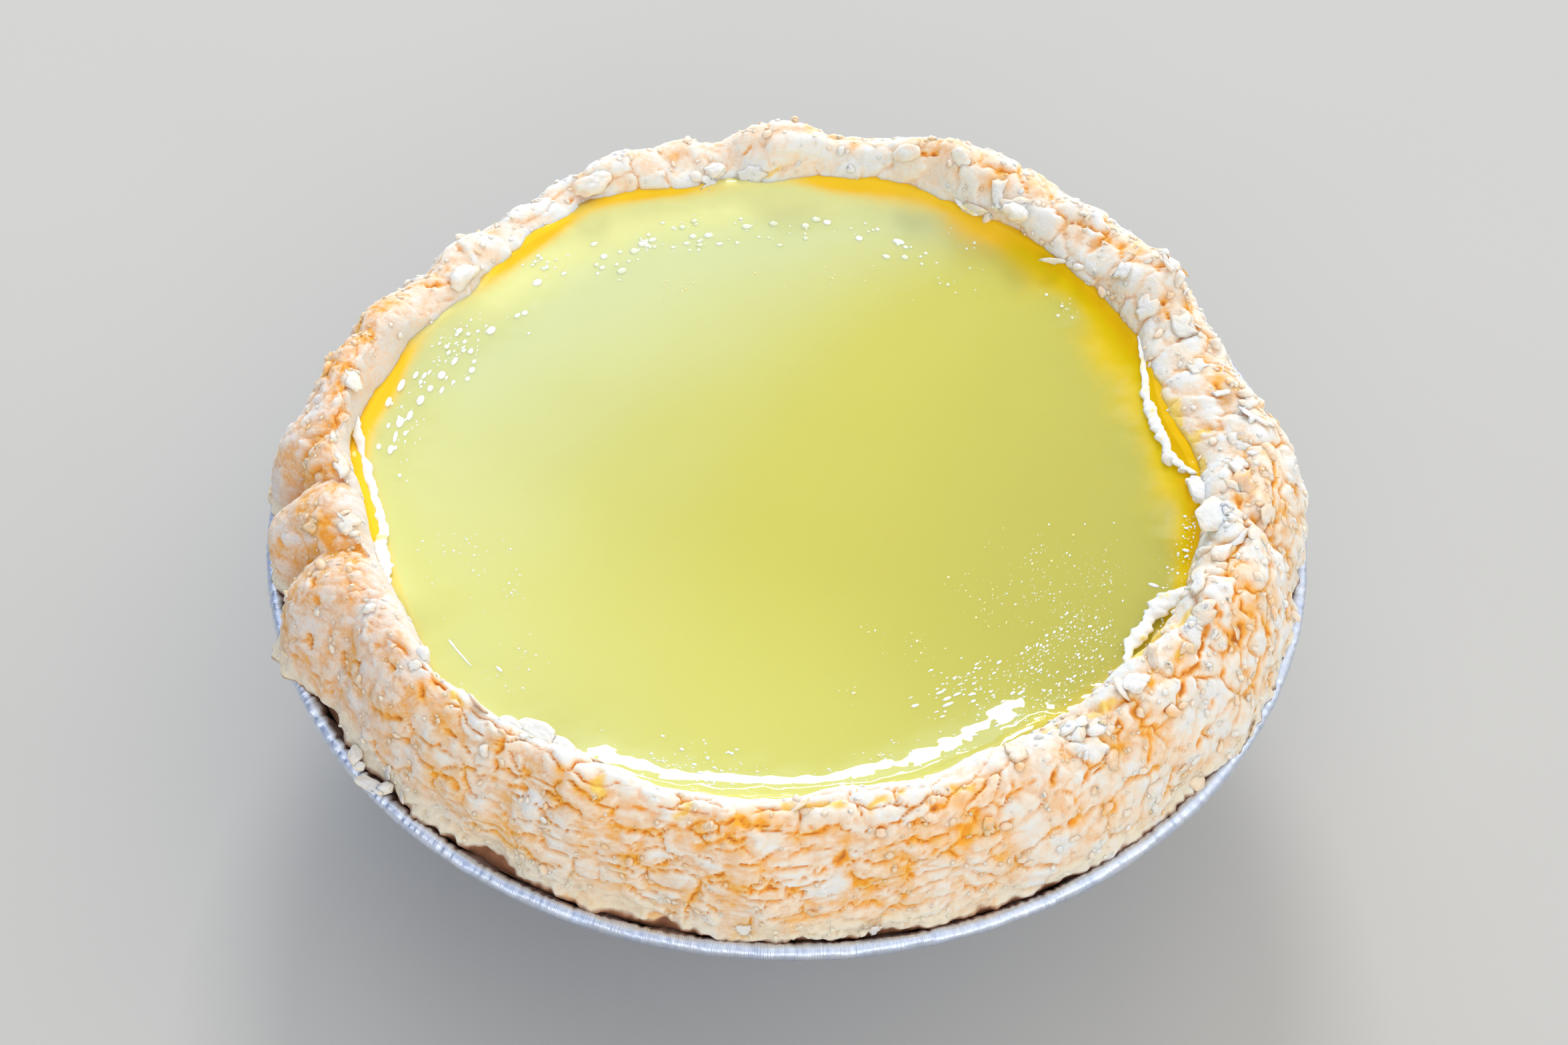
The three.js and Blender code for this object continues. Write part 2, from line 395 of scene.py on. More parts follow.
# Of the custard's yellows below, the second and third are painted sheen, the fourth painted shade and the fifth
# a painted lighter patch; the bright amber is painted light.
CUSTARD_YELLOW = colour(198, 192, 82)
CUSTARD_SHEEN = colour(203, 206, 140)
CUSTARD_BRIGHT_SHEEN = colour(228, 228, 152)
CUSTARD_SHADE = colour(187, 180, 76)
CUSTARD_FRONT_LIGHT = colour(232, 230, 132)
AMBER = colour(226, 193, 0)
LIT_AMBER = colour(255, 202, 40)
DEEP_AMBER = colour(236, 184, 8)


def custard_finish():
    """Set custard: translucent lemon yellow under a glossy skin, amber where it meets the crust, with painted
    sheen towards the back left and the back edge, painted shade towards the right and a painted lighter patch
    at the front left.
    """
    custard = Finish("custard", Roughness=0.4, Subsurface_Weight=0.3, Subsurface_Scale=1.2 * MM,
                     Subsurface_Radius=(1.0, 0.8, 0.25), Specular_IOR_Level=0.0, Coat_Roughness=0.03)
    amber, pale = custard.mark("amber"), custard.mark("pale")
    cloud, fine = custard.grain(11, 2), custard.grain(0.5, 3)
    speck = fine - 0.5
    # Painted sheen where the mark lies above 0, painted shade where it lies below.
    light_cloud = pale + (cloud - 0.5) * 0.25
    body = custard.mix(custard.ramp(light_cloud, -1.0, 0.0), CUSTARD_SHADE, CUSTARD_YELLOW)
    body = custard.mix(custard.ramp(light_cloud, 0.0, 1.0), body, CUSTARD_SHEEN)
    body = custard.mix(custard.ramp(light_cloud, 0.9, 1.9), body, CUSTARD_BRIGHT_SHEEN)
    # Painted light: a lighter patch at the front left.
    body = custard.mix(custard.mark("clear") * 0.34, body, CUSTARD_FRONT_LIGHT)
    rim = custard.mix(custard.ramp(amber + speck * 0.3, 0.85, 1.35), AMBER, DEEP_AMBER)
    # Painted light: brighter amber where the painted sheen lies.
    rim = custard.mix(custard.ramp(pale, 0.1, 0.6), rim, LIT_AMBER)
    body = custard.mix(custard.ramp(amber + speck * 0.15, 0.05, 0.8), body, rim)
    ripple = custard.grain(5.0, 1) * 0.5 + fine * 0.03
    gloss = 1 - custard.ramp(amber, 0.2, 1.0) * 0.8
    return custard.done(Base_Color=body, Coat_Weight=gloss, Normal=custard.bump(ripple, 0.10, 0.4))


def painted_glint_finish():
    """Tiny bubbles in the custard's skin, coloured as painted glints: white ones, warm yellow ones and faint
    ones.
    """
    glint_froth = Finish("custard_painted_glints", Roughness=0.1, Subsurface_Weight=0.2, Subsurface_Scale=0.2 * MM,
                   Coat_Weight=1.0)
    # Painted highlights: the bubbles are coloured white, warm yellow and faint as glints.
    glint_tone = glint_froth.mix(glint_froth.mark("tint"), colour(255, 255, 253), colour(250, 224, 110))
    glint_tone = glint_froth.mix(glint_froth.mark("faint"), glint_tone, colour(222, 230, 178))
    return glint_froth.done(Base_Color=glint_tone, Normal=glint_froth.bump(glint_froth.grain(0.3, 2), 0.02, 0.3))


def skin_finish():
    """Dried custard skin that stayed on the crust's edge: white, with a breath of yellow."""
    skin = Finish("dried_skin", Roughness=0.6, Subsurface_Weight=0.3, Subsurface_Scale=0.2 * MM,
                  Subsurface_Radius=(1.0, 0.8, 0.6), Specular_IOR_Level=0.2)
    fine, broad = skin.grain(0.4, 3), skin.grain(1.4, 2)
    yellow = skin.ramp(broad + (fine - 0.5) * 0.6, 0.55, 0.75)
    tone = skin.mix(yellow, colour(245, 244, 240), colour(252, 232, 158))
    return skin.done(Base_Color=tone, Normal=skin.bump(fine, 0.08, 0.8))


def foil_finish():
    """Thin bright foil with soft wrinkles, and fine creases that run across its rolled edge. Its blue tint is
    painted reflection, and the valleys of its flutes are darker with painted shade.
    """
    foil = Finish("foil", Metallic=1.0)
    wrinkle, fine, place = foil.grain(1.6, 4, 0.6), foil.grain(0.3, 3), foil.place()
    east, north = (foil.node("SeparateXYZ", {}, {0: place}, axis) for axis in ("X", "Y"))
    across = north.math("ARCTAN2", north, east) * (BEAD_OUTSIDE / CREASE)
    creases = foil.node("TexNoise", {"noise_dimensions": "1D"}, {"W": across, "Detail": 2.0})
    # Painted reflection: the foil's colours are tinted blue and light.
    tone = foil.mix(foil.ramp(wrinkle, 0.3, 0.7), colour(214, 226, 249), colour(234, 241, 253))
    # Painted shade: darker in the valleys of the flutes.
    tone = foil.mix(foil.mark("fold") * 0.6, tone, colour(172, 186, 214))
    relief = wrinkle * 0.7 + fine * 0.25 + creases * 0.8
    return foil.done(Base_Color=tone, Roughness=0.22 + fine * 0.16, Normal=foil.bump(relief, 0.12, 0.55))


def floor_finish():
    floor = Finish("pale_floor", Roughness=0.7, Specular_IOR_Level=0.2)
    tone = floor.mix(floor.grain(60, 3), colour(186, 183, 177), colour(192, 189, 183))
    return floor.done(Base_Color=tone)


# ---------------------------------------------------------------- the crust's form

RING = 2 * math.pi * 34
COLUMNS = 1200
WALL_ROWS = 54
INNER_ROWS = 20
SUNK_ROWS = 3
SUNK_FROM = 2.15                    # share at which the crust goes down below the custard
CHUNKS = 66                         # large chunks round the tart
CHUNK_HEIGHT = 3.0
CRUMB_CELLS = 200                   # small crumbs round the tart
CRUMB_HEIGHT = 1.05

CREST_RADIUS = 31.8
CREST_RISE = 9.5                    # above the bead
FOOT_RADIUS = 35.8                  # outside of the crust just above the bead
FOOT_RISE = 0.5
LIP_RADIUS = 28.9                   # where the custard meets the crust
LIP_RISE = 6.6
LIP_CRUMBS = 0.55                   # room inside the lip for the crumbs that stand on it


def evenly(start, spacing, half, *amounts):
    """Humps of one half width at even angles."""
    return [(start + spacing * place, half, amount) for place, amount in enumerate(amounts)]


# Humps of the crest's height and lean, of the foot and of the lip: angle, half width and amount.
CREST_SWELLS = [
    (2, 6, -0.4), *evenly(9.5, 7.5, 5.5, -0.7, -0.7, -1.08, 0.79, -0.58, -0.36, 0.18, 0.06, 0.47, -0.57, -0.36,
                          0.26, -1.19, -1.02, -0.62, -1.59, -1.2, -1.94, -0.88, -1.31),
    (159.5, 5, 0.2), (168, 5, 0.2), (181, 5.5, 0.4), (193, 4.5, 0.4), (205, 5, 0.3), (222, 6, -0.4),
    (262, 16, -0.4), (305, 10, -0.3), (337, 9, 0.4),
]
CREST_LEANS = [
    (4, 9, 1.2), (30, 9, 0.7), (47, 7, 0.4), (66, 10, 0.2), (135, 12, -0.3), (167, 6, 0.5), (181, 6, 0.7),
    (193, 5, 0.7), (205, 6, 0.2), (337, 8, 0.4), (305, 8, 0.2),
]
FOOT_SWELLS = [
    (315, 11, 0.7), (330, 9, 0.9), (345, 11, 0.8), (0, 10, 1.2),
    *evenly(15, 15, 11, -0.29, -0.54, 0.33, 0.29, -0.33, -0.52, -0.28, -0.46, -0.96, -0.46),
    (179, 5.5, 1.9), (190, 5.5, 1.9), (202, 6, 2.1), (211, 5, 0.45), (219, 5, 0.35), (226, 5, 0.5),
    (250, 9, 0.3), (268, 7, 0.8), (285, 9, 0.5), (300, 9, 0.4),
]
LIP_SWELLS = [
    (178, 13, 1.2), (145, 8, -0.9), (117, 7, 0.5), (98, 12, -0.8), (76, 8, 0.3), (30, 30, -1), (247, 18, 0.9),
    (222, 7, 1.1), (306, 14, -0.9), (11, 9, -1.3),
]
# Folds where the pastry was pinched: angle, half width, depth, and how far the fold leans on its way up.
FOLDS = [
    (18.5, 2.6, 0.9, 0), (52, 2.2, 0.7, 0), (84.5, 2, 0.8, 0), (127, 2.2, 0.6, 0), (147, 2.4, 0.7, 0),
    (162, 2.4, 0.9, 0), (187.8, 2.6, 1.9, 9.4), (183, 2.6, 2.3, -5), (193.5, 2.6, 2.1, -6), (212, 1.9, 0.8, 3),
    (349, 2.4, 1, 0), (238, 1.6, 0.5, 0),
]
# Cracks: width in millimetres, then places down the crack as angle and share of the way up the wall.
CRACKS = [
    (0.16, (235.6, 1.05), (236, 0.73), (236.5, 0.5)), (0.24, (235.8, 0.86), (236.2, 0.76)),
    (0.16, (253.4, 0.78), (256.2, 0.8)), (0.15, (250.2, 0.62), (252.8, 0.58), (255, 0.6), (258.2, 0.7)),
    (0.17, (259.6, 0.73), (262, 0.8), (265.5, 0.83), (267.2, 0.82), (269.8, 0.8)),
    (0.17, (260.8, 0.6), (262.5, 0.65), (264, 0.7), (266.2, 0.69)),
    (0.15, (255.3, 0.35), (257.2, 0.4), (258.6, 0.45)),
    (0.16, (260, 0.06), (260.5, 0.18), (261.5, 0.28), (261.8, 0.38), (263.8, 0.45)),
    (0.17, (264.6, 0.35), (267.5, 0.35), (269.6, 0.38)), (0.17, (271, 0.6), (273.2, 0.63)),
    (0.27, (276.8, 0.56), (276.2, 0.5)), (0.17, (273.5, 0.44), (274.6, 0.46)),
    (0.22, (277.5, 0.43), (278.2, 0.37), (279.6, 0.34), (280.6, 0.32)), (0.16, (273.4, 0.77), (274.6, 0.74)),
    (0.17, (280.2, 0.73), (283, 0.75)), (0.15, (282.5, 0.62), (284.5, 0.6), (286.4, 0.56)),
    (0.17, (284.8, 0.72), (286.2, 0.8), (288, 0.83)), (0.2, (271, 0.35), (272.2, 0.33)),
    (0.16, (211, 0.48), (214, 0.53), (214.2, 0.44)), (0.16, (210.4, 0.47), (212, 0.38), (215.4, 0.42)),
    (0.2, (218, 0.4), (220.5, 0.45), (222.7, 0.52)), (0.22, (223.2, 0.84), (223.4, 0.78)),
    (0.14, (221, 1.02), (225.2, 0.98)), (0.15, (201.6, 0.25), (205, 0.32), (206.6, 0.38)),
    (0.17, (206.5, 0.42), (207, 0.33)), (0.15, (216.5, 0.74), (218.6, 0.77)), (0.14, (202, 0.68), (205, 0.62)),
    (0.26, (332.5, 1), (331.8, 0.9), (331.2, 0.83), (331.5, 0.7), (332.2, 0.6), (333.5, 0.66)),
    (0.28, (330.2, 0.9), (328.5, 0.85), (326.8, 0.78), (324.8, 0.75), (323.5, 0.78)),
    (0.2, (323.2, 0.73), (322, 0.7), (320.5, 0.65), (318.8, 0.68), (317.5, 0.68)),
    (0.18, (335.8, 0.8), (335.2, 0.73), (335.2, 0.62)), (0.18, (336.5, 0.53), (336.8, 0.43), (337, 0.33)),
    (0.22, (340.5, 0.4), (340, 0.36)), (0.15, (332, 0.6), (331.2, 0.55), (330.2, 0.5), (329.5, 0.5)),
    (0.2, (329.5, 0.45), (330.8, 0.41)),
    (0.2, (357.5, 1.25), (354.5, 1.18), (351.8, 1.12), (350, 0.98), (347.5, 0.9)),
    (0.2, (346.8, 0.62), (349.2, 0.48)), (0.18, (1.2, 0.78), (356, 0.75), (352, 0.65), (351.8, 0.58)),
    (0.15, (352, 0.65), (357.5, 0.45)), (0.15, (340.8, 0.9), (338.8, 0.98), (337.8, 0.98)),
    (0.15, (343, 0.93), (340.8, 1.1), (341.5, 1.33)), (0.14, (0.2, 1.2), (358, 1.25)),
    (0.28, (314.8, 0.68), (314.8, 0.6), (313.5, 0.48)),
    (0.15, (311.2, 0.8), (312.8, 0.88), (312.2, 0.78), (310.8, 0.7)),
    (0.17, (320.8, 0.34), (319.2, 0.33), (318, 0.37)), (0.17, (324.2, 0.5), (323.4, 0.47)),
    (0.14, (314.5, 0.2), (315.8, 0.18), (317, 0.28)), (0.17, (292, 0.7), (291.6, 0.64)),
    (0.18, (290.2, 0.62), (290, 0.55)), (0.2, (295.2, 0.55), (294.4, 0.53)), (0.2, (293.5, 0.5), (292.9, 0.51)),
    (0.15, (296.9, 0.8), (295.2, 0.74), (294.6, 0.68)), (0.22, (302, 0.78), (301.7, 0.7)),
    (0.16, (302, 0.4), (304, 0.44)), (0.13, (287.2, 0.48), (285.5, 0.52)), (0.2, (303.5, 0.53), (303, 0.55)),
    (0.16, (308, 0.35), (307, 0.33)), (0.15, (306.5, 0.62), (308.5, 0.66)), (0.18, (299, 0.36), (300.6, 0.42)),
    (0.16, (243, 0.66), (245.6, 0.62), (247.2, 0.64)), (0.14, (241, 0.42), (244.6, 0.4)),
    (0.16, (226.5, 0.68), (229.6, 0.66)), (0.15, (229.5, 0.36), (232.6, 0.38)),
    (0.14, (238.6, 0.55), (240.6, 0.6)), (0.2, (12, 1.15), (14.5, 1.05), (16, 0.92)),
    (0.16, (26, 1.3), (29, 1.25)), (0.18, (38, 1.2), (40, 1.1)), (0.16, (70, 1.2), (73, 1.3)),
    (0.16, (147.5, 1.35), (149.5, 1.1), (150, 0.95)), (0.15, (119, 1.15), (123, 1.3)),
]
# Places where yellow custard shows through a gap: written as the cracks are.
GOLDEN_GAPS = [
    (0.36, (248.6, 0.92), (249.2, 0.8)), (0.3, (258.8, 0.95), (258.9, 0.84), (258.2, 0.78)),
    (0.34, (270.6, 1), (273.5, 1.02), (276.4, 0.98)), (0.3, (280.2, 0.9), (281.4, 0.98), (283.6, 1)),
    (0.3, (290.2, 0.99), (292.4, 0.93)), (0.34, (313.8, 1.05), (310.5, 1.18), (304.8, 1.45)),
    (0.42, (331.5, 1.2), (328.8, 1.3), (327, 1.5), (323.2, 1.5)), (0.3, (325.2, 0.93), (323.2, 0.95)),
    (0.34, (220.4, 1.5), (223.2, 1.3)), (0.32, (226.4, 1.08), (228.4, 0.98)), (0.3, (5.5, 1.45), (6.2, 1.9)),
    (0.26, (92.4, 1.75), (94.8, 1.8)), (0.24, (102.4, 1.4), (101.6, 1.5)),
]
# Baked or floury spots: angle, share, half size in millimetres, and how toasted (or, below 0, how floury).
SPOTS = [
    (183.5, 0.98, 1, 0.18), (184.5, 0.58, 0.5, 0.18), (195, 0.9, 0.7, 0.16), (196.8, 0.8, 0.7, 0.2),
    (196.5, 0.6, 0.7, 0.16), (194.5, 0.38, 0.5, 0.18), (202.8, 0.9, 0.7, 0.2), (203.2, 0.73, 0.9, 0.11),
    (173.5, 0.83, 0.7, 0.2), (172.5, 0.4, 0.8, 0.14), (190, 0.95, 0.6, 0.18), (192.2, 1.15, 0.6, 0.16),
    (203.5, 0.6, 0.7, 0.18), (207.8, 0.68, 0.6, 0.2), (208, 0.8, 0.6, 0.14), (216, 0.98, 0.8, 0.24),
    (215.2, 0.85, 0.8, 0.15), (211.8, 0.78, 0.6, 0.18), (223.2, 0.8, 0.9, 0.29), (227.2, 0.78, 1, 0.18),
    (218.2, 0.75, 0.4, 0.24), (218.5, 0.35, 0.6, 0.18), (223.5, 0.4, 0.8, 0.15), (228.2, 0.43, 1.1, 0.24),
    (232.2, 0.65, 0.8, 0.18), (235.2, 0.7, 0.7, 0.18), (180.5, 0.55, 0.6, 0.14), (199.5, 0.45, 1, 0.09),
    (210, 0.9, 0.7, -0.42), (212, 0.73, 0.5, -0.36), (215.8, 0.9, 0.5, -0.3), (220.2, 0.92, 1.1, -0.42),
    (211, 0.15, 0.8, -0.18), (233.8, 0.6, 0.8, -0.24), (191, 0.55, 1.4, -0.3), (181.5, 0.2, 1.5, -0.24),
    (176, 0.7, 1.3, -0.21), (206, 0.5, 0.8, -0.21), (225.5, 0.6, 1, -0.15), (230.5, 0.85, 0.9, -0.21),
    (248.5, 0.6, 0.7, 0.21), (258.5, 0.65, 0.6, 0.26), (254, 0.4, 0.7, 0.26), (252.8, 0.3, 0.6, 0.26),
    (248, 0.35, 0.9, 0.26), (261, 0.75, 0.6, 0.3), (265.2, 0.85, 0.6, 0.3), (268.8, 0.53, 0.8, 0.26),
    (271.2, 0.48, 0.7, 0.26), (275.8, 0.83, 0.7, 0.17), (268.2, 0.87, 0.7, 0.3), (272, 0.73, 0.6, 0.26),
    (244, 0.83, 0.7, 0.34), (240, 0.72, 0.8, 0.21), (246.5, 0.48, 0.7, -0.3), (257, 0.48, 0.7, -0.3),
    (257.5, 0.65, 0.5, -0.3), (255, 0.3, 0.5, -0.27), (264.8, 1.3, 1.2, -0.18), (278.4, 0.58, 0.6, -0.36),
    (276, 0.4, 0.7, -0.36), (285.2, 0.38, 0.9, -0.27), (283, 0.66, 0.9, -0.18), (251, 0.95, 1, -0.24),
    (262.5, 0.5, 0.8, -0.24), (268.5, 0.7, 0.7, -0.21), (241.5, 0.55, 0.8, -0.21), (266.5, 0.25, 0.8, -0.18),
    (290, 0.53, 0.7, 0.26), (293.8, 0.3, 0.6, 0.34), (295, 0.4, 0.5, 0.3), (301.5, 0.55, 0.9, 0.21),
    (304.8, 0.25, 0.6, 0.26), (308, 0.35, 0.7, 0.26), (310.8, 0.4, 0.6, 0.26), (320.2, 0.2, 0.6, 0.26),
    (312.5, 1.1, 0.9, 0.26), (318.5, 1, 0.5, 0.34), (320.5, 0.83, 0.6, 0.3), (324.5, 0.93, 0.9, 0.34),
    (359.5, 0.87, 0.6, 0.34), (351, 0.5, 0.6, 0.42), (2.5, 1.05, 0.4, 0.34), (7, 1.6, 1.4, 0.38),
    (353, 1.45, 0.5, 0.38), (333, 0.75, 0.8, 0.26), (337, 0.45, 0.7, 0.21), (298, 0.8, 0.7, 0.21),
    (348, 1.2, 1.6, -0.3), (354, 1.6, 1.2, -0.3), (329, 1, 1.2, -0.18), (300.5, 0.3, 1, -0.18),
    (102, 1.43, 0.8, 0.47), (93, 1.6, 1.2, 0.34), (81.8, 1.23, 0.7, 0.42), (107, 1.07, 0.7, 0.38),
    (163.2, 1.05, 0.6, 0.25), (172, 0.9, 0.5, 0.2), (173.5, 1.05, 0.7, 0.2), (153.8, 1.48, 0.8, 0.22),
    (130.5, 1.2, 0.8, 0.38), (166, 0.85, 0.5, 0.2), (178, 0.95, 0.7, 0.18), (152.8, 1.1, 0.5, 0.18),
    (70, 1.25, 1, 0.3), (60, 1.35, 0.9, 0.3), (47, 1.15, 0.9, 0.34), (37, 1.1, 0.9, 0.3), (27, 1.3, 0.9, 0.3),
    (17, 1.1, 0.8, 0.34), (76, 1.7, 0.8, 0.26), (112, 1.3, 0.8, 0.26), (140, 1.2, 0.8, 0.26),
]
# Where custard soaked into the crust's inner side: middle angle, half width, how far up it reaches.
SOAKED = [
    (180, 12, 0.3), (8, 14, 0.45), (134, 7, 0.3), (112, 7, 0.22), (81, 6, 0.22), (58, 10, 0.2), (325, 8, 0.6),
]


def crust_base(degrees, share):
    """Radius and height of the smooth crust. The share runs from 0 at the foot of the wall over 1 at the
    crest to 2 at the lip, and on to 3 below the custard."""
    fold = folded(degrees, share)
    crest = round_the_tart(degrees, CREST_RADIUS, CREST_LEANS) - 0.45 * fold
    top = round_the_tart(degrees, CREST_RISE, CREST_SWELLS) - 0.5 * fold
    foot = round_the_tart(degrees, FOOT_RADIUS, FOOT_SWELLS) - 0.7 * fold
    lip = round_the_tart(degrees, LIP_RADIUS, LIP_SWELLS) + LIP_CRUMBS
    wall, inner = (np.clip(share - start, 0, 1) * np.pi / 2 for start in (0, 1))
    below = np.clip(share - 2, 0, 1)
    radius = np.where(share <= 1, crest + (foot - crest) * np.cos(wall),
                      crest + (lip - crest) * np.sin(inner) - 1.2 * below)
    height = np.where(share <= 1, FOOT_RISE + (top - FOOT_RISE) * np.sin(wall),
                      LIP_RISE + (top - LIP_RISE) * np.cos(inner) - 3.0 * below)
    return radius, height


def folded(degrees, share, sharper=1.0):
    """How deep the pinched folds are; a small number makes them sharper."""
    up = np.clip(share, 0, 1.3)
    return sum(depth * pinch(degrees + lean * up, at, half * sharper) for at, half, depth, lean in FOLDS)


def regions(degrees):
    """How far each style of crust holds at an angle: layered front, pinched left, lumpy back, flaky right."""
    return (window(degrees, 225, 296, 10), window(degrees, 152, 222, 10), window(degrees, 62, 152),
            window(degrees, 300, 422))


def pinch(degrees, at, half):
    """A sharp valley round an angle, 1 at its bottom."""
    return bell(apart(degrees, at), half, 1.25)


def wavering(place):
    """Places on the smooth crust, shifted so that what is drawn there gets an uneven edge."""
    waver = [noise(place, 0.9, 80 + axis) + 0.5 * noise(place, 0.4, 84 + axis) for axis in range(3)]
    return place + 0.28 * np.stack(waver, -1)


def crust_spot(angle, share):
    """Points on the smooth crust."""
    return points_round(angle, *crust_base(angle, share))


def drawn_lines(place, lines):
    """1 along drawn lines on the smooth crust and 0 away from them."""
    field = np.zeros(place.shape[:-1])
    moved = wavering(place)
    swollen = 1.15 + 0.7 * noise(place, 0.8, 88)
    strength = 0.6 + 0.4 * step(noise(place, 1.3, 89), -0.35, 0.25)
    for width, *stops in lines:
        line = crust_spot(*np.array(stops).T)
        for start, end in zip(line, line[1:]):
            along = np.clip((moved - start) @ (end - start) / ((end - start) @ (end - start)), 0, 1)
            away = np.linalg.norm(moved - start - along[..., None] * (end - start), axis=-1)
            field = np.maximum(field, bell(away, width * swollen))
    return field * strength


def drawn_spots(place, spots):
    """How toasted the spots make the crust, below 0 where they are floury."""
    angle, share, half, amount = np.array(spots).T
    moved = wavering(place)
    return sum(strength * bell(np.linalg.norm(moved - middle, axis=-1), size, 2.5)
               for middle, size, strength in zip(crust_spot(angle, share), half, amount))


def crust_relief(degrees, share, place, along):
    """How far the crumbly skin stands out from the smooth crust, of that how much is crumbs, its cracks,
    how warm they bake what is near them, its golden gaps and its random tint."""
    layered, pinched, lumpy, flaky = regions(degrees)
    across = degrees / 360 * RING
    along = along - 5.0
    stretch = 1 + 1.3 * layered
    smooth = step(share, 1.1, 1.5) * (1 - 0.35 * flaky - 0.6 * lumpy)
    drift_x = 0.8 * noise(place, 2.4, 1) + 0.3 * noise(place, 0.8, 2)
    drift_y = 0.5 * noise(place, 2.2, 3) + 0.22 * noise(place, 0.7, 4)
    lumps = 0.42 * noise(place, 7, 5) + (0.26 + 0.22 * lumpy) * noise(place, 3.2, 6)

    border, first, second, lean_x, lean_y, level = cell_field(
        across + drift_x, (along + drift_y) * stretch, CHUNKS, RING / CHUNKS, CHUNK_HEIGHT, 20)
    patchy = noise(place, 2.6, 7) + 0.6 * noise(place, 1.1, 8) + 0.6 * layered * (level - 0.5)
    strength = step(patchy + 0.30 * flaky + 0.30 * layered - 0.20 * pinched - 0.20 * lumpy, 0.05, 0.6)
    strength = strength * (1 - 0.8 * smooth)
    width = 0.12 + 0.05 * flaky + 0.08 * step(noise(place, 2, 9), 0.1, 0.8)
    split = bell(border, width) * strength
    puff = 0.25 * (1 - bell(border, 0.45, 1)) * (0.35 + 0.65 * strength)
    plates = (0.05 * (second - 0.5) * lean_x + 0.10 * (first - 0.35) * lean_y / stretch) * (
        1.0 * flaky + 0.6 * layered + 0.15)
    chunk = 0.36 * (first - 0.5) * step(border, 0, 0.3) * (1 - 0.6 * pinched) * (
        0.4 + 0.5 * flaky + 0.3 * layered + 0.6 * lumpy)

    edge, third, fourth, *_ = cell_field(
        across + 0.6 * drift_x + 0.25 * noise(place, 0.5, 10),
        (along + 0.6 * drift_y) * (0.45 + 0.55 * stretch), CRUMB_CELLS, RING / CRUMB_CELLS, CRUMB_HEIGHT, 30)
    grains = (0.03 + 0.26 * third ** 2) * (1 - bell(edge, 0.2, 1)) * (0.45 + 0.2 * flaky + 0.5 * pinched)
    grit = (0.06 * noise(place, 0.8, 12) + 0.03 * noise(place, 0.42, 13)) * (1 + 0.8 * pinched)

    drawn, gold = drawn_lines(place, CRACKS), drawn_lines(place, GOLDEN_GAPS)
    crack = np.maximum(split * 0.75, drawn)
    warm = np.maximum(drawn ** 0.2, 0.8 * strength * bell(border / width, 2.2))
    crumbly = (puff + plates + chunk + grains + grit) * (1 - 0.6 * smooth)
    relief = lumps + crumbly - 0.12 - 0.36 * crack - 0.2 * gold
    return relief, crumbly, crack, warm, gold, fourth * 0.3 + first * 0.7


def hollows(relief, times):
    """How far the skin lies below what surrounds it; more times look further around."""
    around = relief
    for _ in range(times):
        around = around / 2 + (np.roll(around, 1, 0) + np.roll(around, -1, 0)) / 4
        low, high = around[:, :1], around[:, -1:]
        around = around / 2 + (np.hstack([low, around[:, :-1]]) + np.hstack([around[:, 1:], high])) / 4
    return around - relief


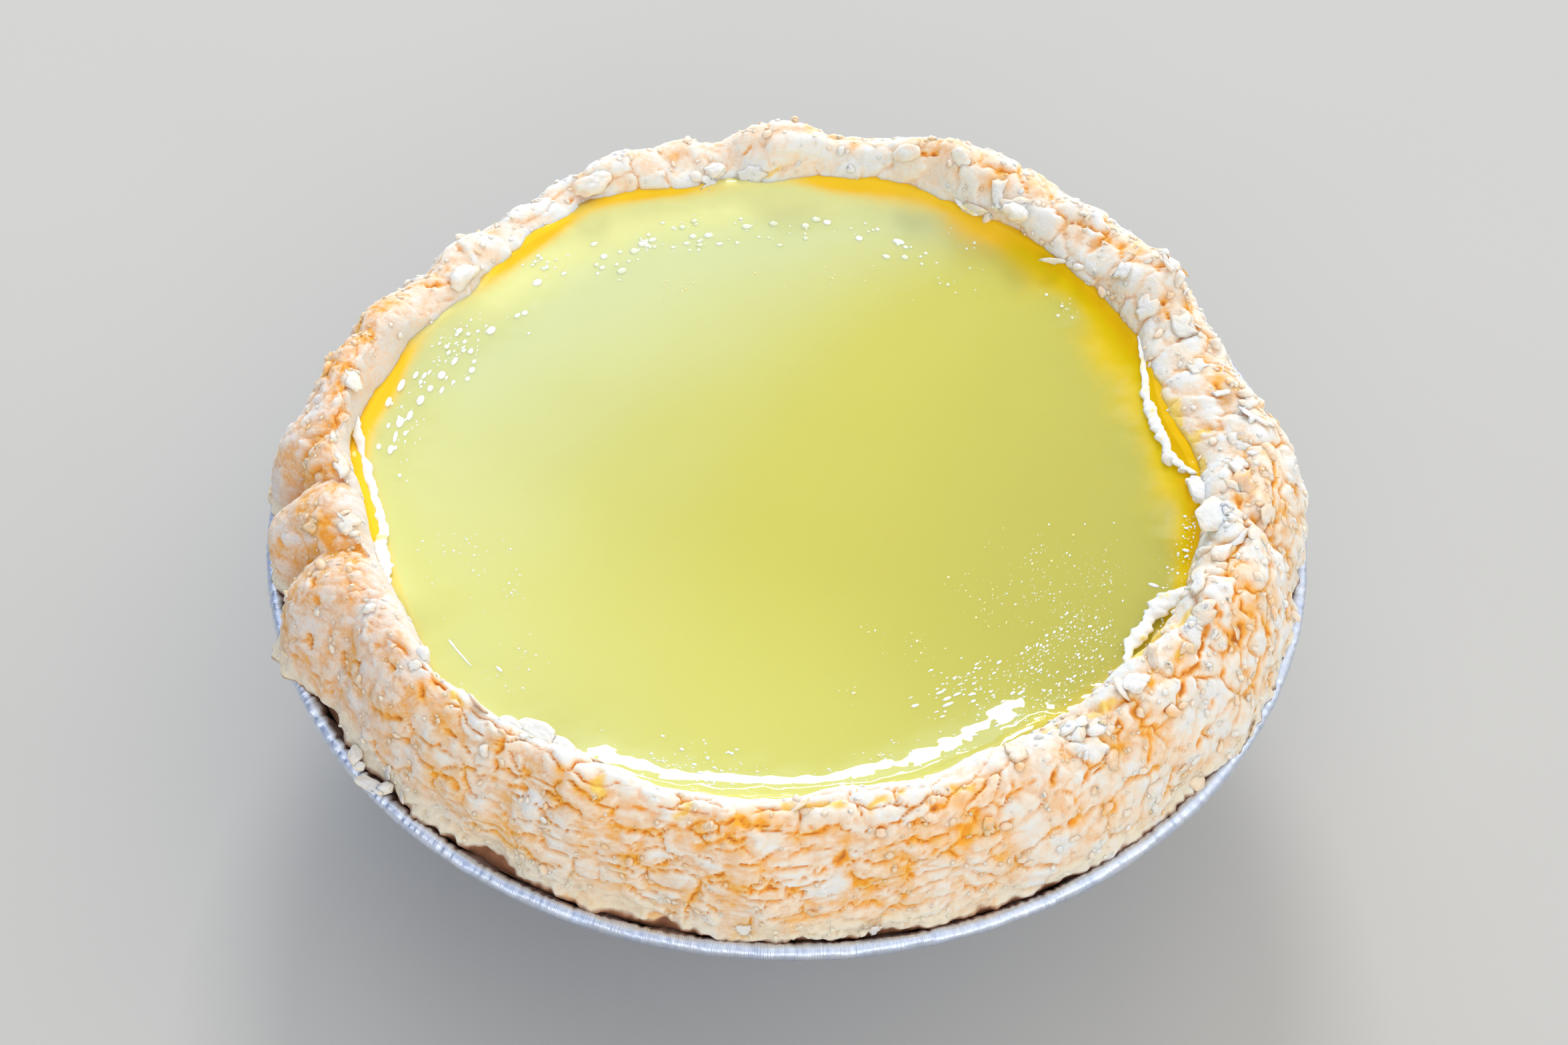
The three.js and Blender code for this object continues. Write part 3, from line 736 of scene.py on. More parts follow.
class Crust:
    """The crumbly surface of the shell, worked out once: points, directions and marks by column and row."""

    def __init__(self):
        share = np.concatenate([
            np.linspace(0, 1, WALL_ROWS, endpoint=False), np.linspace(1, SUNK_FROM, INNER_ROWS, endpoint=False),
            np.linspace(SUNK_FROM, 3, SUNK_ROWS)])[None]
        degrees, share = self.degrees, self.share = np.broadcast_arrays(angles_round(COLUMNS), share)
        radius, height = crust_base(degrees, share)
        place = points_round(degrees, radius, height)
        lengths = np.hypot(np.diff(radius, axis=1), np.diff(height, axis=1))
        along = np.concatenate([np.zeros((COLUMNS, 1)), np.cumsum(lengths, axis=1)], axis=1)
        relief, crumbly, crack, warm, gold, tint = crust_relief(degrees, share, place, along)
        out_r, out_z = np.gradient(height, axis=1), -np.gradient(radius, axis=1)
        calm = step(share, 0, 0.05) * (1 - 0.6 * step(share, 2.0, 2.6))
        offset = (relief - 0.1) * calm / np.hypot(out_r, out_z)
        ragged = 0.45 * noise(place, 5, 42) + 0.40 * noise(place, 1.7, 40) + 0.26 * noise(place, 0.6, 41)
        self.radius = radius + out_r * offset + ragged * (1 - step(share, 0.0, 0.10))
        self.height = height + out_z * offset
        self.points = points_round(degrees, self.radius, self.height + RIM)
        # Painted shade: more toasted in the crust's hollows.
        hollow_shade = np.clip(hollows(relief, 8) + 0.5 * hollows(relief, 40), -0.08, 0.16)
        self.marks = crust_marks(degrees, share, place, crumbly, crack * calm, warm * calm, gold, tint)
        self.marks["toast"] = self.marks["toast"] + 1.05 * hollow_shade * (1 - 0.6 * step(share, 1.9, 2.1))
        self.around = unit(np.roll(self.points, -1, 0) - np.roll(self.points, 1, 0))
        self.outward = unit(np.cross(self.around, np.gradient(self.points, axis=1)))

    def places(self, rng, chances, count):
        """Columns and rows drawn at random, more often where the chance is high."""
        share = (chances / chances.sum()).ravel()
        return np.unravel_index(rng.choice(share.size, count, replace=False, p=share), chances.shape)

    def nearest(self, angle, share):
        """Column and row at an angle and share."""
        column = np.round(angle / 360 * COLUMNS).astype(int) % COLUMNS
        return column, np.abs(self.share[:1] - share[:, None]).argmin(axis=1)

    def seat(self, column, row):
        """The point there, with the directions round the tart and out of the crust."""
        return self.points[column, row], self.around[column, row], self.outward[column, row]

    def paint_shade_round(self, column, row, sizes):
        """Paints shade on the crust round the crumbs and flakes that lie on it, as more toasting."""
        toast = self.marks["toast"]
        for middle, level, size in zip(column, row, sizes):
            columns, rows = np.arange(middle - 8, middle + 9) % COLUMNS, slice(max(level - 8, 0), level + 9)
            away = np.linalg.norm(self.points[columns, rows] - self.points[middle, level], axis=-1)
            toast[columns, rows] += 0.15 * bell(away, 1.35 * size, 4)

    def crumb_marks(self, rng, column, row, whiter):
        """The marks of crumbs that lie there: as the crust below them, but a little whiter."""
        toast = self.marks["toast"][column, row] - whiter + rng.normal(0, 0.10, len(column))
        return np.minimum(toast, 0.45), self.marks["under"][column, row]


def unit(vectors):
    return vectors / np.linalg.norm(vectors, axis=-1, keepdims=True)


def crust_marks(degrees, share, place, crumbly, crack, warm, gold, tint):
    """What the crust's finish reads: toasted, cracked, underbaked, golden, hidden and browned, and the
    layered and the pinched region. Its toasting also holds painted shade where the crust lies low."""
    layered, pinched, lumpy, flaky = regions(degrees)
    inner = step(share, 1.0 - 0.16 * layered, 1.35 - 0.3 * layered)
    # Painted shade: more toasted where the crumbly skin lies low.
    toast = (0.32 + 0.14 * layered + 0.18 * pinched - 0.06 * lumpy
             + (0.14 + 0.12 * layered) * noise(place, 5, 50)
             + 0.20 * (tint - 0.5) - (0.6 + 0.3 * pinched) * (crumbly - crumbly.mean()))
    toast = toast + 0.05 * layered * bell(share - 0.55, 0.3)
    toast = toast + drawn_spots(place, SPOTS) + 0.22 * noise(place, 1.9, 56) + 0.24 * noise(place, 3.8, 57)
    toast = toast * (1 - inner * (0.8 - 0.35 * lumpy - 0.30 * flaky))
    # Painted shade: more toasted in the pinched folds.
    valley = folded(degrees, share, 0.4) * (1 - inner)
    toast = toast + 0.16 * valley * (1 + 0.8 * noise(place, 1.2, 55)) + 0.2 * warm
    floury = 0.8 + 0.9 * noise(place, 2.6, 52) + 0.4 * window(degrees, 200, 285)
    reach = round_the_tart(degrees, 0, SOAKED) * (1 + 0.5 * noise(place, 1.5, 54))
    soaked = step(share + reach, 1.98, 2.25)
    return {"toast": toast, "crack": crack, "under": (1 - step(share, 0.05, 0.22)) * floury,
            "gold": np.maximum(gold, soaked), "brown": (share == 0) * 1.0, "layered": layered, "ruddy": pinched}


# What is hidden of the shell: radius and height of its underside and lining, and its two ends on the axis.
UNDERSIDE = [(23.0, 0.7), (34.2, RIM - 1.3), (34.9, RIM - 0.5), (35.95, RIM - 0.22)]
LINING = [(22.0, 6.0)]
CRUST_POLES = (0.6, 4.4)


def crust(form):
    """The shell, with its hidden underside and lining."""
    finish = pastry_finish("shortcrust", 0.9)
    piece = turned_piece("crust", finish, form.degrees, form.radius, form.height + RIM,
                         UNDERSIDE, LINING, CRUST_POLES, **form.marks)
    settle(piece, "crust", "pastry_shell")


# ---------------------------------------------------------------- crumbs and flakes on the crust

def ball(fineness):
    """A round lump as points and triangles."""
    lump = bmesh.new()
    bmesh.ops.create_icosphere(lump, subdivisions=fineness, radius=1.0)
    points = np.array([corner.co[:] for corner in lump.verts])
    faces = np.array([[corner.index for corner in face.verts] for face in lump.faces])
    lump.free()
    return points, faces


def copies(points, faces):
    """One mesh from copies of a shape that each have their own points."""
    count, size = points.shape[:2]
    shifted = faces[None] + (np.arange(count) * size)[:, None, None]
    return points.reshape(-1, 3), shifted.reshape(-1, faces.shape[1])


def directions(around, outward, turn, tip):
    """Three directions for each place: one along the crust, turned by that many radians from the one
    round the tart and tipped up, and the two square to it."""
    turn, tip = np.reshape(turn, (-1, 1)), np.reshape(tip, (-1, 1))
    first = around * np.cos(turn) + np.cross(outward, around) * np.sin(turn)
    second = np.cross(outward, first)
    return first * np.cos(tip) + outward * np.sin(tip), second, outward * np.cos(tip) - first * np.sin(tip)


def laid(shapes, places, first, second, up):
    """Shapes moved to their places, with their own three directions."""
    return (places[:, None] + shapes[..., :1] * first[:, None] + shapes[..., 1:2] * second[:, None]
            + shapes[..., 2:] * up[:, None])


def lumpy_crumbs(rng, fineness, places, around, outward, sizes, turn=None, angular=1.0):
    """Broken knobs, each with its size or its length, width and height. They are turned by so many
    radians, or else loose: turned and tipped at random and sunk in. Gives points, faces and how far up
    its crumb each point is, from -1 to 1."""
    shape, faces = ball(fineness)
    count, loose = len(places), turn is None
    sizes = sizes.reshape(count, 1, -1)
    seeds = rng.uniform(-50, 50, (count, 1, 3))
    breaks = unit(rng.normal(size=(count, BREAKS, 3)))
    facing = np.clip(np.einsum("vk,cbk->cvb", shape, breaks), 0.1, None)
    broken = (rng.uniform(0.6, 1.1, (count, 1, BREAKS)) / facing).min(axis=2)
    knobbly = np.clip(broken, 0.3, 1.3) ** angular + 0.18 * noise(shape[None] * 1.2 + seeds, 0.6, 90)
    stretch = rng.uniform(0.65, 1.35, (count, 1, 3)) * np.array([1, 1, 0.75])
    local = shape[None] * knobbly[..., None] * sizes * (stretch if loose else 1.0)
    tip = 0
    if loose:
        turn, tip = rng.uniform(0, 2 * np.pi, count), rng.normal(0, 0.3, count)
        local = local - np.array([0, 0, 0.3]) * sizes
    points, faces = copies(laid(local, places, *directions(around, outward, turn, tip)), faces)
    return points, faces, np.tile(shape[:, 2], count)


# Loose crumbs: how many, their usual size and the largest.
CRUMB_GROUPS = [(80, 0.46, 0.7), (450, 0.26, 0.42), (1500, 0.14, 0.2)]
BREAKS = 10                         # broken faces of a crumb

# Single lumps: angle, radius and height above the bead, half length, width and height, and their turn.
BIG_CRUMBS = [
    (348.6, 30.3, 9, 1.7, 1.6, 0.3, 0), (354.2, 28.9, 7.9, 1.2, 0.75, 0.3, 5),
    (236.6, 29.8, 7.3, 1.5, 0.8, 0.45, 5), (240.8, 29.9, 7.1, 1.2, 0.7, 0.4, -10),
    (233.4, 30.3, 7.4, 0.9, 0.6, 0.5, 0), (3.2, 27.4, 6.1, 0.85, 0.7, 0.55, 20),
    (0.8, 28, 6.4, 0.55, 0.4, 0.4, 0), (357, 28.9, 6.9, 1, 0.6, 0.5, 30), (55.5, 29.3, 8.6, 1, 0.7, 0.6, 0),
    (58.2, 29.4, 8.2, 0.6, 0.5, 0.45, 40), (49.5, 28.4, 6.2, 1.3, 0.4, 0.25, -8),
    (101.7, 29.9, 7.2, 0.9, 0.6, 0.6, 0), (95.6, 29.1, 6.7, 1.2, 0.45, 0.5, 5),
    (89.8, 30, 7.4, 1.2, 0.5, 0.7, 0), (119.6, 30.9, 8, 1.4, 0.8, 0.8, 0),
    (217.5, 36.6, 0.95, 0.8, 0.45, 0.4, -25), (218.9, 36.8, 0.8, 0.45, 0.3, 0.3, 50),
    (221.6, 37.2, 0.8, 1.2, 0.5, 0.35, 12), (223, 36.7, 0.9, 0.7, 0.4, 0.35, 60),
]


# Single lumps on the crust: angle, share, half length, width and height, and their turn on the crust.
SEATED_CRUMBS = [
    (220.2, 0.92, 0.5, 0.4, 0.25, 20), (210, 0.9, 0.6, 0.45, 0.3, 60), (30, 0.95, 0.6, 0.45, 0.5, 0),
    (20.5, 0.8, 0.5, 0.45, 0.45, 0), (10.5, 0.86, 0.6, 0.5, 0.5, 40), (66, 1.2, 0.8, 0.6, 0.4, 0),
    (74, 1.3, 0.9, 0.6, 0.4, 20), (342, 1.2, 0.9, 0.7, 0.35, 0), (318, 1.05, 1.1, 0.8, 0.35, 15),
    (310, 0.95, 0.9, 0.7, 0.35, -10), (145, 1.45, 1.3, 0.7, 0.5, 0), (171, 1.25, 1.2, 0.8, 0.4, 30),
]


def crust_crumbs(form):
    """Crumbs of all sizes: loose ones, and the single ones."""
    rng = np.random.default_rng(SEED + 1)
    layered, pinched, lumpy, flaky = regions(form.degrees)
    share = form.share
    visible = (share < 1.95) & (share > 0.02)
    chances = ((0.4 + 0.6 * flaky + 0.1 * lumpy + 0.2 * pinched + 1.2 * (share < 0.16)) * visible
               * (1 - 0.7 * step(share, 1.2, 1.5) * (1 - 0.5 * flaky - 0.5 * lumpy))
               * (1 - 0.9 * np.clip(form.marks["crack"] * 2, 0, 1)))
    made = []
    for count, typical, largest in CRUMB_GROUPS:
        large = typical > 0.3
        column, row = form.places(rng, chances * (1 - 0.95 * np.maximum(pinched, layered) * large), count)
        sizes = np.clip(typical * np.exp(rng.normal(0, 0.3, count)), 0.07, largest)
        lumps = lumpy_crumbs(rng, 2, *form.seat(column, row), sizes)
        made.append((*lumps, *form.crumb_marks(rng, column, row, 0.06)))
        form.paint_shade_round(column, row, sizes)

    angle, radius, height, *sizes, turn = np.array(BIG_CRUMBS).T
    east, up = np.array([1.0, 0, 0]), np.array([0, 0, 1.0])
    lumps = lumpy_crumbs(rng, 4, points_round(angle, radius, height + RIM), east, up, np.stack(sizes, -1),
                         np.radians(angle + 90 + turn), 0.6)
    made.append((*lumps, rng.normal(-0.10, 0.05, len(angle)), 0.2 * (radius > 36)))

    angle, share, *sizes, turn = np.array(SEATED_CRUMBS).T
    column, row = form.nearest(angle, share)
    lumps = lumpy_crumbs(rng, 3, *form.seat(column, row), np.stack(sizes, -1), np.radians(turn))
    made.append((*lumps, rng.normal(0.0, 0.08, len(angle)), 0 * angle))
    form.paint_shade_round(column, row, sizes[0])

    points, faces, upwards, toast, under = zip(*made)
    starts = np.cumsum([0] + [len(part) for part in points])
    faces = np.concatenate([part + start for part, start in zip(faces, starts)])
    toast, under = (np.concatenate([np.repeat(own, len(up) // len(own)) for own, up in zip(mark, upwards)])
                    for mark in (toast, under))
    # Painted shade: each crumb is more toasted towards its underside.
    toast = toast + 0.26 * (1 - np.concatenate(upwards))
    piece = piece_of("crust_crumbs", np.concatenate(points), faces.tolist(), pastry_finish("crumbs", 0.25),
                     toast=toast, under=under)
    settle(piece, "crust")


SMALL_FLAKES = 80
FLAKE_RINGS = [(0, -0.5), (0.62, -0.5), (1, 0), (0.66, 0.5), (0, 0.5)]
FLAKE_SHADE = [0.5, 0.42, 0.3, 0.06, 0]             # painted shade on each ring, more toasted underneath
FLAKE_CORNERS = 14                  # of a flake's outline


def flake_shapes(rng, length, width, thick, curl):
    """Thin torn plates, each with a ragged outline and a curled face, as points and triangles."""
    count, sides = len(length), FLAKE_CORNERS
    length, width, thick, curl = (size[:, None] for size in (length, width, thick, curl))
    turn = np.arange(sides) * 2 * np.pi / sides
    raggedness = 1 + 0.22 * rng.normal(size=(count, sides)) + 0.25 * np.sin(
        2 * turn + rng.uniform(0, 6.3, (count, 1)))
    raggedness = np.clip(raggedness, 0.45, 1.6)
    outline = np.stack([length * np.cos(turn) * raggedness, width * np.sin(turn) * raggedness], -1)
    points = []
    for size, level in FLAKE_RINGS:
        flat = outline * size if size else outline[:, :1] * 0
        bend = curl * (flat[..., 0] / length) ** 2
        height = bend + level * thick * (1 + 0.5 * rng.normal(size=flat.shape[:2]))
        points.append(np.concatenate([flat, height[..., None]], -1))
    lower, edge, upper, top = (1 + ring * sides for ring in range(4))
    pairs = [(corner, (corner + 1) % sides) for corner in range(sides)]
    faces = [(0, lower + b, lower + a) for a, b in pairs] + [(top, upper + a, upper + b) for a, b in pairs]
    for first, second in ((lower, edge), (edge, upper)):
        for a, b in pairs:
            faces += [(first + a, first + b, second + b), (first + a, second + b, second + a)]
    return np.concatenate(points, axis=1), np.array(faces)


# Large flakes: angle, share of the way up, length, width, turn on the crust, lift of the far end.
BIG_FLAKES = [
    (353, 1.1, 1.1, 0.8, 80, 0.25), (358, 1.2, 1.1, 0.8, 60, 0.2), (2, 1.15, 1, 0.8, 110, 0.2),
    (343.5, 1.05, 1.3, 0.8, 150, 0.25), (6, 0.95, 1.3, 0.8, 40, 0.3), (12, 1.1, 1.1, 0.85, 100, 0.2),
    (17, 1.2, 0.9, 0.75, 20, 0.2), (24, 1.15, 1.1, 0.85, 70, 0.2), (29, 1.5, 1, 0.7, 95, 0.2),
    (32, 0.92, 0.9, 0.6, 30, 0.55), (36, 1.4, 1, 0.7, 120, 0.2), (56, 1.5, 1.1, 0.7, 40, 0.4),
    (45.5, 1.9, 1.5, 0.5, 5, 0.2), (59, 1.45, 0.9, 0.7, 100, 0.35), (62, 1.85, 1.4, 0.6, 15, 0.2),
    (9, 0.9, 0.9, 0.6, 60, 0.55), (246, 1.5, 1.1, 0.6, 160, 0.25), (336, 1.35, 1.3, 0.9, 20, 0.25),
    (331, 1, 1.2, 0.8, 140, 0.2), (230, 1.3, 1.2, 0.7, 30, 0.25), (322, 1.25, 1.3, 0.8, 140, 0.25),
    (316, 1.1, 1.2, 0.8, 60, 0.2), (308, 1.2, 1.2, 0.7, 20, 0.2), (299, 1.2, 1, 0.7, 110, 0.2),
    (97, 1.75, 1.2, 0.7, 10, 0.2), (103, 1.85, 0.9, 0.5, 40, 0.3), (196, 1.25, 1, 0.7, 80, 0.2),
    (186, 1.25, 1, 0.7, 20, 0.2), (222, 0.05, 1, 0.6, 60, 0.1), (225, 0.04, 0.9, 0.5, 10, 0.1),
    (280, 0.06, 0.9, 0.5, 80, 0.1), (266, 0.05, 1.1, 0.5, 15, 0.05), (330, 0.06, 1, 0.6, 120, 0.1),
]


def crust_flakes(form):
    """Torn flakes: small ones at random, and the single large ones."""
    rng = np.random.default_rng(SEED + 2)
    _, pinched, lumpy, flaky = regions(form.degrees)
    share, count = form.share, SMALL_FLAKES
    chances = 0.12 + 1.6 * flaky + 0.15 * lumpy + 0.2 * bell(share - 1.1, 0.3) - 0.1 * pinched
    chances = chances * (share > 0.05) * (share < 1.7) * (1 - 0.95 * np.clip(form.marks["crack"] * 2, 0, 1))
    column, row = form.places(rng, np.clip(chances, 0, None), count)
    toast, _ = form.crumb_marks(rng, column, row, 0.12)
    length = np.clip(0.6 * np.exp(rng.normal(0, 0.35, count)), 0.3, 1.2)
    width = length * rng.uniform(0.5, 0.9, count)
    small, faces = flake_shapes(rng, length, width, 0.20 * width, rng.uniform(-0.15, 0.05, count))
    places, around, outward = form.seat(column, row)
    turn, tip = rng.uniform(0, 2 * np.pi, count), rng.normal(0, 0.15, count)
    first, second, up = directions(around, outward, turn, tip)
    small = laid(small, places - 0.06 * up, first, second, up)
    form.paint_shade_round(column, row, width)

    angle, share, length, width, turn, rise = np.array(BIG_FLAKES).T
    column, row = form.nearest(angle, share)
    big, _ = flake_shapes(rng, length, width, 0.10 + 0.14 * width, 0.2 * rise)
    places, around, outward = form.seat(column, row)
    tilted = directions(around, outward, np.radians(turn), np.arctan2(rise, 3 * length))
    big = laid(big, places + outward * (0.2 * rise[:, None]), *tilted)
    form.paint_shade_round(column, row, width)

    points, faces = copies(np.concatenate([small, big]), faces)
    toast = np.concatenate([toast, rng.normal(0.02, 0.08, len(angle))])
    # Painted shade: each flake is more toasted towards its underside.
    warm = np.repeat(FLAKE_SHADE, [1, FLAKE_CORNERS, FLAKE_CORNERS, FLAKE_CORNERS, 1])
    piece = piece_of("crust_flakes", points, faces.tolist(), pastry_finish("flakes", 0.2),
                     toast=(toast[:, None] + warm).ravel())
    settle(piece, "crust")


# ---------------------------------------------------------------- custard

CUSTARD_COLUMNS = 720
CUSTARD_ROWS = 84
INWARD = 29                         # from the custard's edge in to its middle
CUSTARD_EDGE = 6.9                  # above the bead, where the custard has crept up the crust
CUSTARD_DIP = 1.25                  # how far the surface lies below that edge
CREEP = 1.3                         # how far in from the edge the creeping reaches
CUSTARD_DOME = 0.35                 # how far its middle stands above that
CUSTARD_UNDERSIDE = [(20.0, 5.0), (26.0, 15.0)]     # radius and height, hidden


def custard_edge(degrees):
    return round_the_tart(degrees, LIP_RADIUS, LIP_SWELLS) + 0.3


def custard_height(degrees, inward, edge):
    """Height above the bead at a distance in from the edge, up which it creeps but for two stretches."""
    dome = CUSTARD_DOME * (1 - np.clip(1 - inward / edge, 0, 1) ** 2)
    wide = swell(degrees, 298, 12)
    level = 0.85 * window(degrees, 309, 346, 4) + 0.85 * window(degrees, 209, 243, 4)
    creep = CUSTARD_DIP * (1 - level + 0.08 * wide) * bell(np.clip(inward, 0, None) / CREEP, 1 + 0.4 * wide, 1)
    return CUSTARD_EDGE - CUSTARD_DIP + dome + creep


# Amber rim: middle angle, half width, strength, and how far in it reaches.
AMBER_RIM = [
    (30, 24, 0.62, 1.8), (352, 15, 0.62, 1), (6, 9, 0.2, 0.2), (133, 8, 0.65, 0.1), (112, 7, 0.62, 0),
    (81, 7, 0.65, 0.1), (60, 14, 0.35, 0.9), (168, 8, 0.55, 0.15), (188, 12, 0.5, 0.1), (318, 14, 0.15, 0.5),
]


def custard_shape(degrees, inward):
    """Radius and height of the custard's surface, how amber it is, its painted light (1 for painted sheen,
    -1 for painted shade), and how strong the painted lighter patch at the front left is."""
    edge = custard_edge(degrees)
    radius = edge - inward * edge / INWARD
    height = custard_height(degrees, inward, edge)
    place = points_round(degrees, radius, height)
    deep = np.clip(inward, 0, None)
    near = bell(deep, 2.6, 1) * (1 - 0.75 * window(degrees, 188, 232, 6))
    height = height + 0.03 * noise(place, 8, 60) + near * (
        0.085 * noise(place, 1.7, 61) + 0.034 * noise(place, 0.75, 63) + 0.012 * noise(place, 0.4, 67))
    strength = 0.12 + sum(amount * swell(degrees, at, half) for at, half, amount, _ in AMBER_RIM)
    reach = 0.5 + sum(amount * swell(degrees, at, half) for at, half, _, amount in AMBER_RIM)
    reach = np.clip(reach * (1 + 0.45 * noise(place, 4, 62)), 0.35, None)
    amber = 1.9 * strength * bell(deep, reach, 1.2)
    east, north = place[..., 0], place[..., 1]
    # Painted light: paler towards the back and the left as painted sheen, brighter still along the back edge,
    # deeper towards the right as painted shade.
    pale = -0.043 * np.clip(east, 0, None) - 0.026 * np.clip(east, None, 0)
    pale = pale + 0.0150 * north + 0.00082 * north ** 2
    pale = pale + 1.4 * bell(deep, 2.4, 1) * window(degrees, 60, 150, 15)
    # Painted light: a lighter patch towards the front left.
    clear = step(-0.5 * east - 0.75 * north, 3, 22)
    return radius, height, amber, np.clip(pale, -1, 2.4), clear


def custard():
    """The filling, with its hidden underside."""
    inward = np.concatenate([[-0.9, -0.5], INWARD * np.linspace(0, 1, CUSTARD_ROWS, endpoint=False) ** 2])[None]
    degrees, inward = np.broadcast_arrays(angles_round(CUSTARD_COLUMNS), inward)
    radius, height, amber, pale, clear = custard_shape(degrees, inward)
    poles = (5.0, CUSTARD_EDGE - CUSTARD_DIP + CUSTARD_DOME + RIM)
    piece = turned_piece("custard", custard_finish(), degrees, radius, height + RIM,
                         CUSTARD_UNDERSIDE, [], poles, amber=amber, pale=pale, clear=clear)
    settle(piece, "custard", "egg_custard")


# Bubbles painted as glints: how many, angles from and to, distance in from the edge from and to, largest
# radius, share that are warm yellow, how much longer than wide they are, and how faint.
BUBBLE_GLINTS = [
    (420, 302, 330, 1.6, 6.5, 0.085, 0.05, 1.8, 0), (200, 322, 342, 3, 11, 0.07, 0.1, 1.3, 0.3),
    (60, 296, 312, 3, 7, 0.13, 0, 2.6, 0), (110, 277, 337, 7.5, 13.5, 0.1, 0.9, 1.2, 0),
    (60, 240, 296, 2.8, 5, 0.12, 0.05, 1.6, 0), (110, 196, 228, 2.2, 8.5, 0.09, 0, 1.1, 0.2),
    (90, 148, 180, 0.8, 3.2, 0.15, 0, 2, 0), (90, 66, 126, 2.8, 5.2, 0.3, 0, 1.4, 0.65),
    (40, 126, 160, 1.2, 4.5, 0.24, 0, 1.4, 0.4), (36, 28, 66, 1.8, 6.5, 0.15, 0.2, 1, 0.4),
    (70, 340, 354, 0.2, 1, 0.11, 0.3, 1.2, 0), (110, 304, 340, 0.15, 0.7, 0.12, 0.4, 1, 0),
    (45, 66, 120, 6, 11, 0.1, 0.9, 1, 0), (200, 240, 316, 1.1, 2.8, 0.075, 0, 1.8, 0),
]


# Single bright glints: angle, distance in from the edge, half length along the edge and half width.
GLINTS = [
    (161.2, 2.6, 0.42, 0.3), (164.4, 2.5, 0.34, 0.22), (167.2, 2.4, 0.5, 0.28), (170.5, 2.3, 0.5, 0.22),
    (172.2, 1.9, 0.55, 0.3), (175.1, 2, 0.6, 0.16), (177.7, 1.9, 0.46, 0.22), (177.6, 1.1, 0.3, 0.2),
    (169.5, 0.6, 0.5, 0.24), (165.9, 0.7, 0.65, 0.26), (149, 2.8, 0.45, 0.32), (154.6, 3.1, 0.25, 0.2),
    (157.6, 2.7, 0.45, 0.2), (162.5, 1.6, 0.35, 0.16), (173.4, 1.3, 0.3, 0.14), (153.4, 2.2, 0.22, 0.16),
    (136.1, 2.6, 0.42, 0.3), (163.1, 1.1, 0.4, 0.18), (182.5, 2.6, 0.18, 0.15), (142.5, 3.6, 0.28, 0.22),
    (218, 2.1, 1.45, 0.07), (215.6, 1.8, 0.45, 0.09), (223.6, 3.6, 0.32, 0.12), (339, 1.9, 0.16, 0.42),
    (346, 0.4, 0.14, 0.34), (349.7, 0.6, 0.11, 0.28), (352.1, 0.8, 0.12, 0.18), (84.3, 3.5, 0.32, 0.26),
    (78.2, 5, 0.3, 0.25), (71.3, 4.4, 0.5, 0.26), (123.7, 3.8, 0.3, 0.25),
]


def custard_glint_bubbles():
    """Clumps of tiny bubbles painted as glints, and the single glints."""
    rng = np.random.default_rng(SEED + 3)
    dome, faces = ball(2)
    groups = []
    for count, start, end, nearest, furthest, largest, warm, longer, faded in BUBBLE_GLINTS:
        clumps = max(3, count // 6)
        own = rng.integers(0, clumps, count)
        degrees = rng.uniform(start, end, clumps)[own] + 2.0 * rng.standard_t(3, count).clip(-4, 4)
        inward = rng.uniform(nearest, furthest, clumps)[own] + 0.45 * rng.standard_t(3, count).clip(-3, 3)
        size = np.clip(largest * 0.42 * np.exp(rng.normal(0, 0.55, count)), 0.028, largest)
        tint = (rng.random(count) < warm) * rng.uniform(0.6, 1.0, count)
        stretch = 1 + (longer - 1) * rng.uniform(0.2, 1.6, count)
        faint = np.clip(faded + rng.normal(0, 0.15, count) * (faded > 0), 0, 0.95)
        groups.append(np.stack([degrees, np.clip(inward, 0.1, None), size * stretch, size, tint, faint]))
    single = np.array(GLINTS).T
    groups.append(np.concatenate([single, 0 * single[:2]]))
    degrees, inward, length, width, tint, faint = np.concatenate(groups, axis=1)
    radius, height, *_ = custard_shape(degrees, inward)
    shapes = dome * np.stack([length, width, 0.5 * np.minimum(length, width)], -1)[:, None]
    along, across = points_round(degrees + 90, 1, 0), points_round(degrees, 1, 0)
    upright = points_round(degrees, 0, 1)
    middle = points_round(degrees, radius, height + RIM)
    points, faces = copies(laid(shapes, middle, along, across, upright), faces)
    tint, faint = (np.repeat(mark, len(dome)) for mark in (tint, faint))
    piece = piece_of("custard_glint_bubbles", points, faces.tolist(), painted_glint_finish(), tint=tint, faint=faint)
    settle(piece, "custard")


SKIN_SIDES = 10                     # corners round a thread
# Threads of dried skin: places along each as angle, radius and rise over the custard, then the half
# widths, and the height for each width.
SKIN_THREADS = [
    ([(27, 28.5, 0.5), (22, 27.6, 0.4), (17.2, 27, 0.25), (13.5, 26.8, 0.2), (10, 26.8, 0.2), (5.4, 27.1, 0.2),
      (1.4, 27.8, 0.3), (359, 28.6, 0.5)], (0.12, 0.26, 0.34, 0.42, 0.5, 0.62, 0.42, 0.3), 0.5),
    ([(174, 31.2, 0.8), (177, 30.6, 0.5), (182, 29.9, 0.35), (187, 29.35, 0.3), (192, 28.9, 0.3),
      (197, 29.3, 0.4), (202, 29.6, 0.6), (206, 30.1, 1)], (0.2, 0.36, 0.4, 0.4, 0.5, 0.46, 0.4, 0.3), 0.4),
    ([(339.5, 29.8, 1.1), (337, 29, 1), (335, 28.4, 0.9), (332, 28.2, 0.8), (329, 28.3, 0.8), (326, 28.3, 0.8),
      (323, 28.8, 1.1)], (0.3, 0.6, 0.66, 0.68, 0.6, 0.45, 0.3), 0.3),
    ([(67, 29.8, 0.9), (64, 29, 0.6), (61, 28.7, 0.6)], (0.2, 0.36, 0.2), 0.5),
]


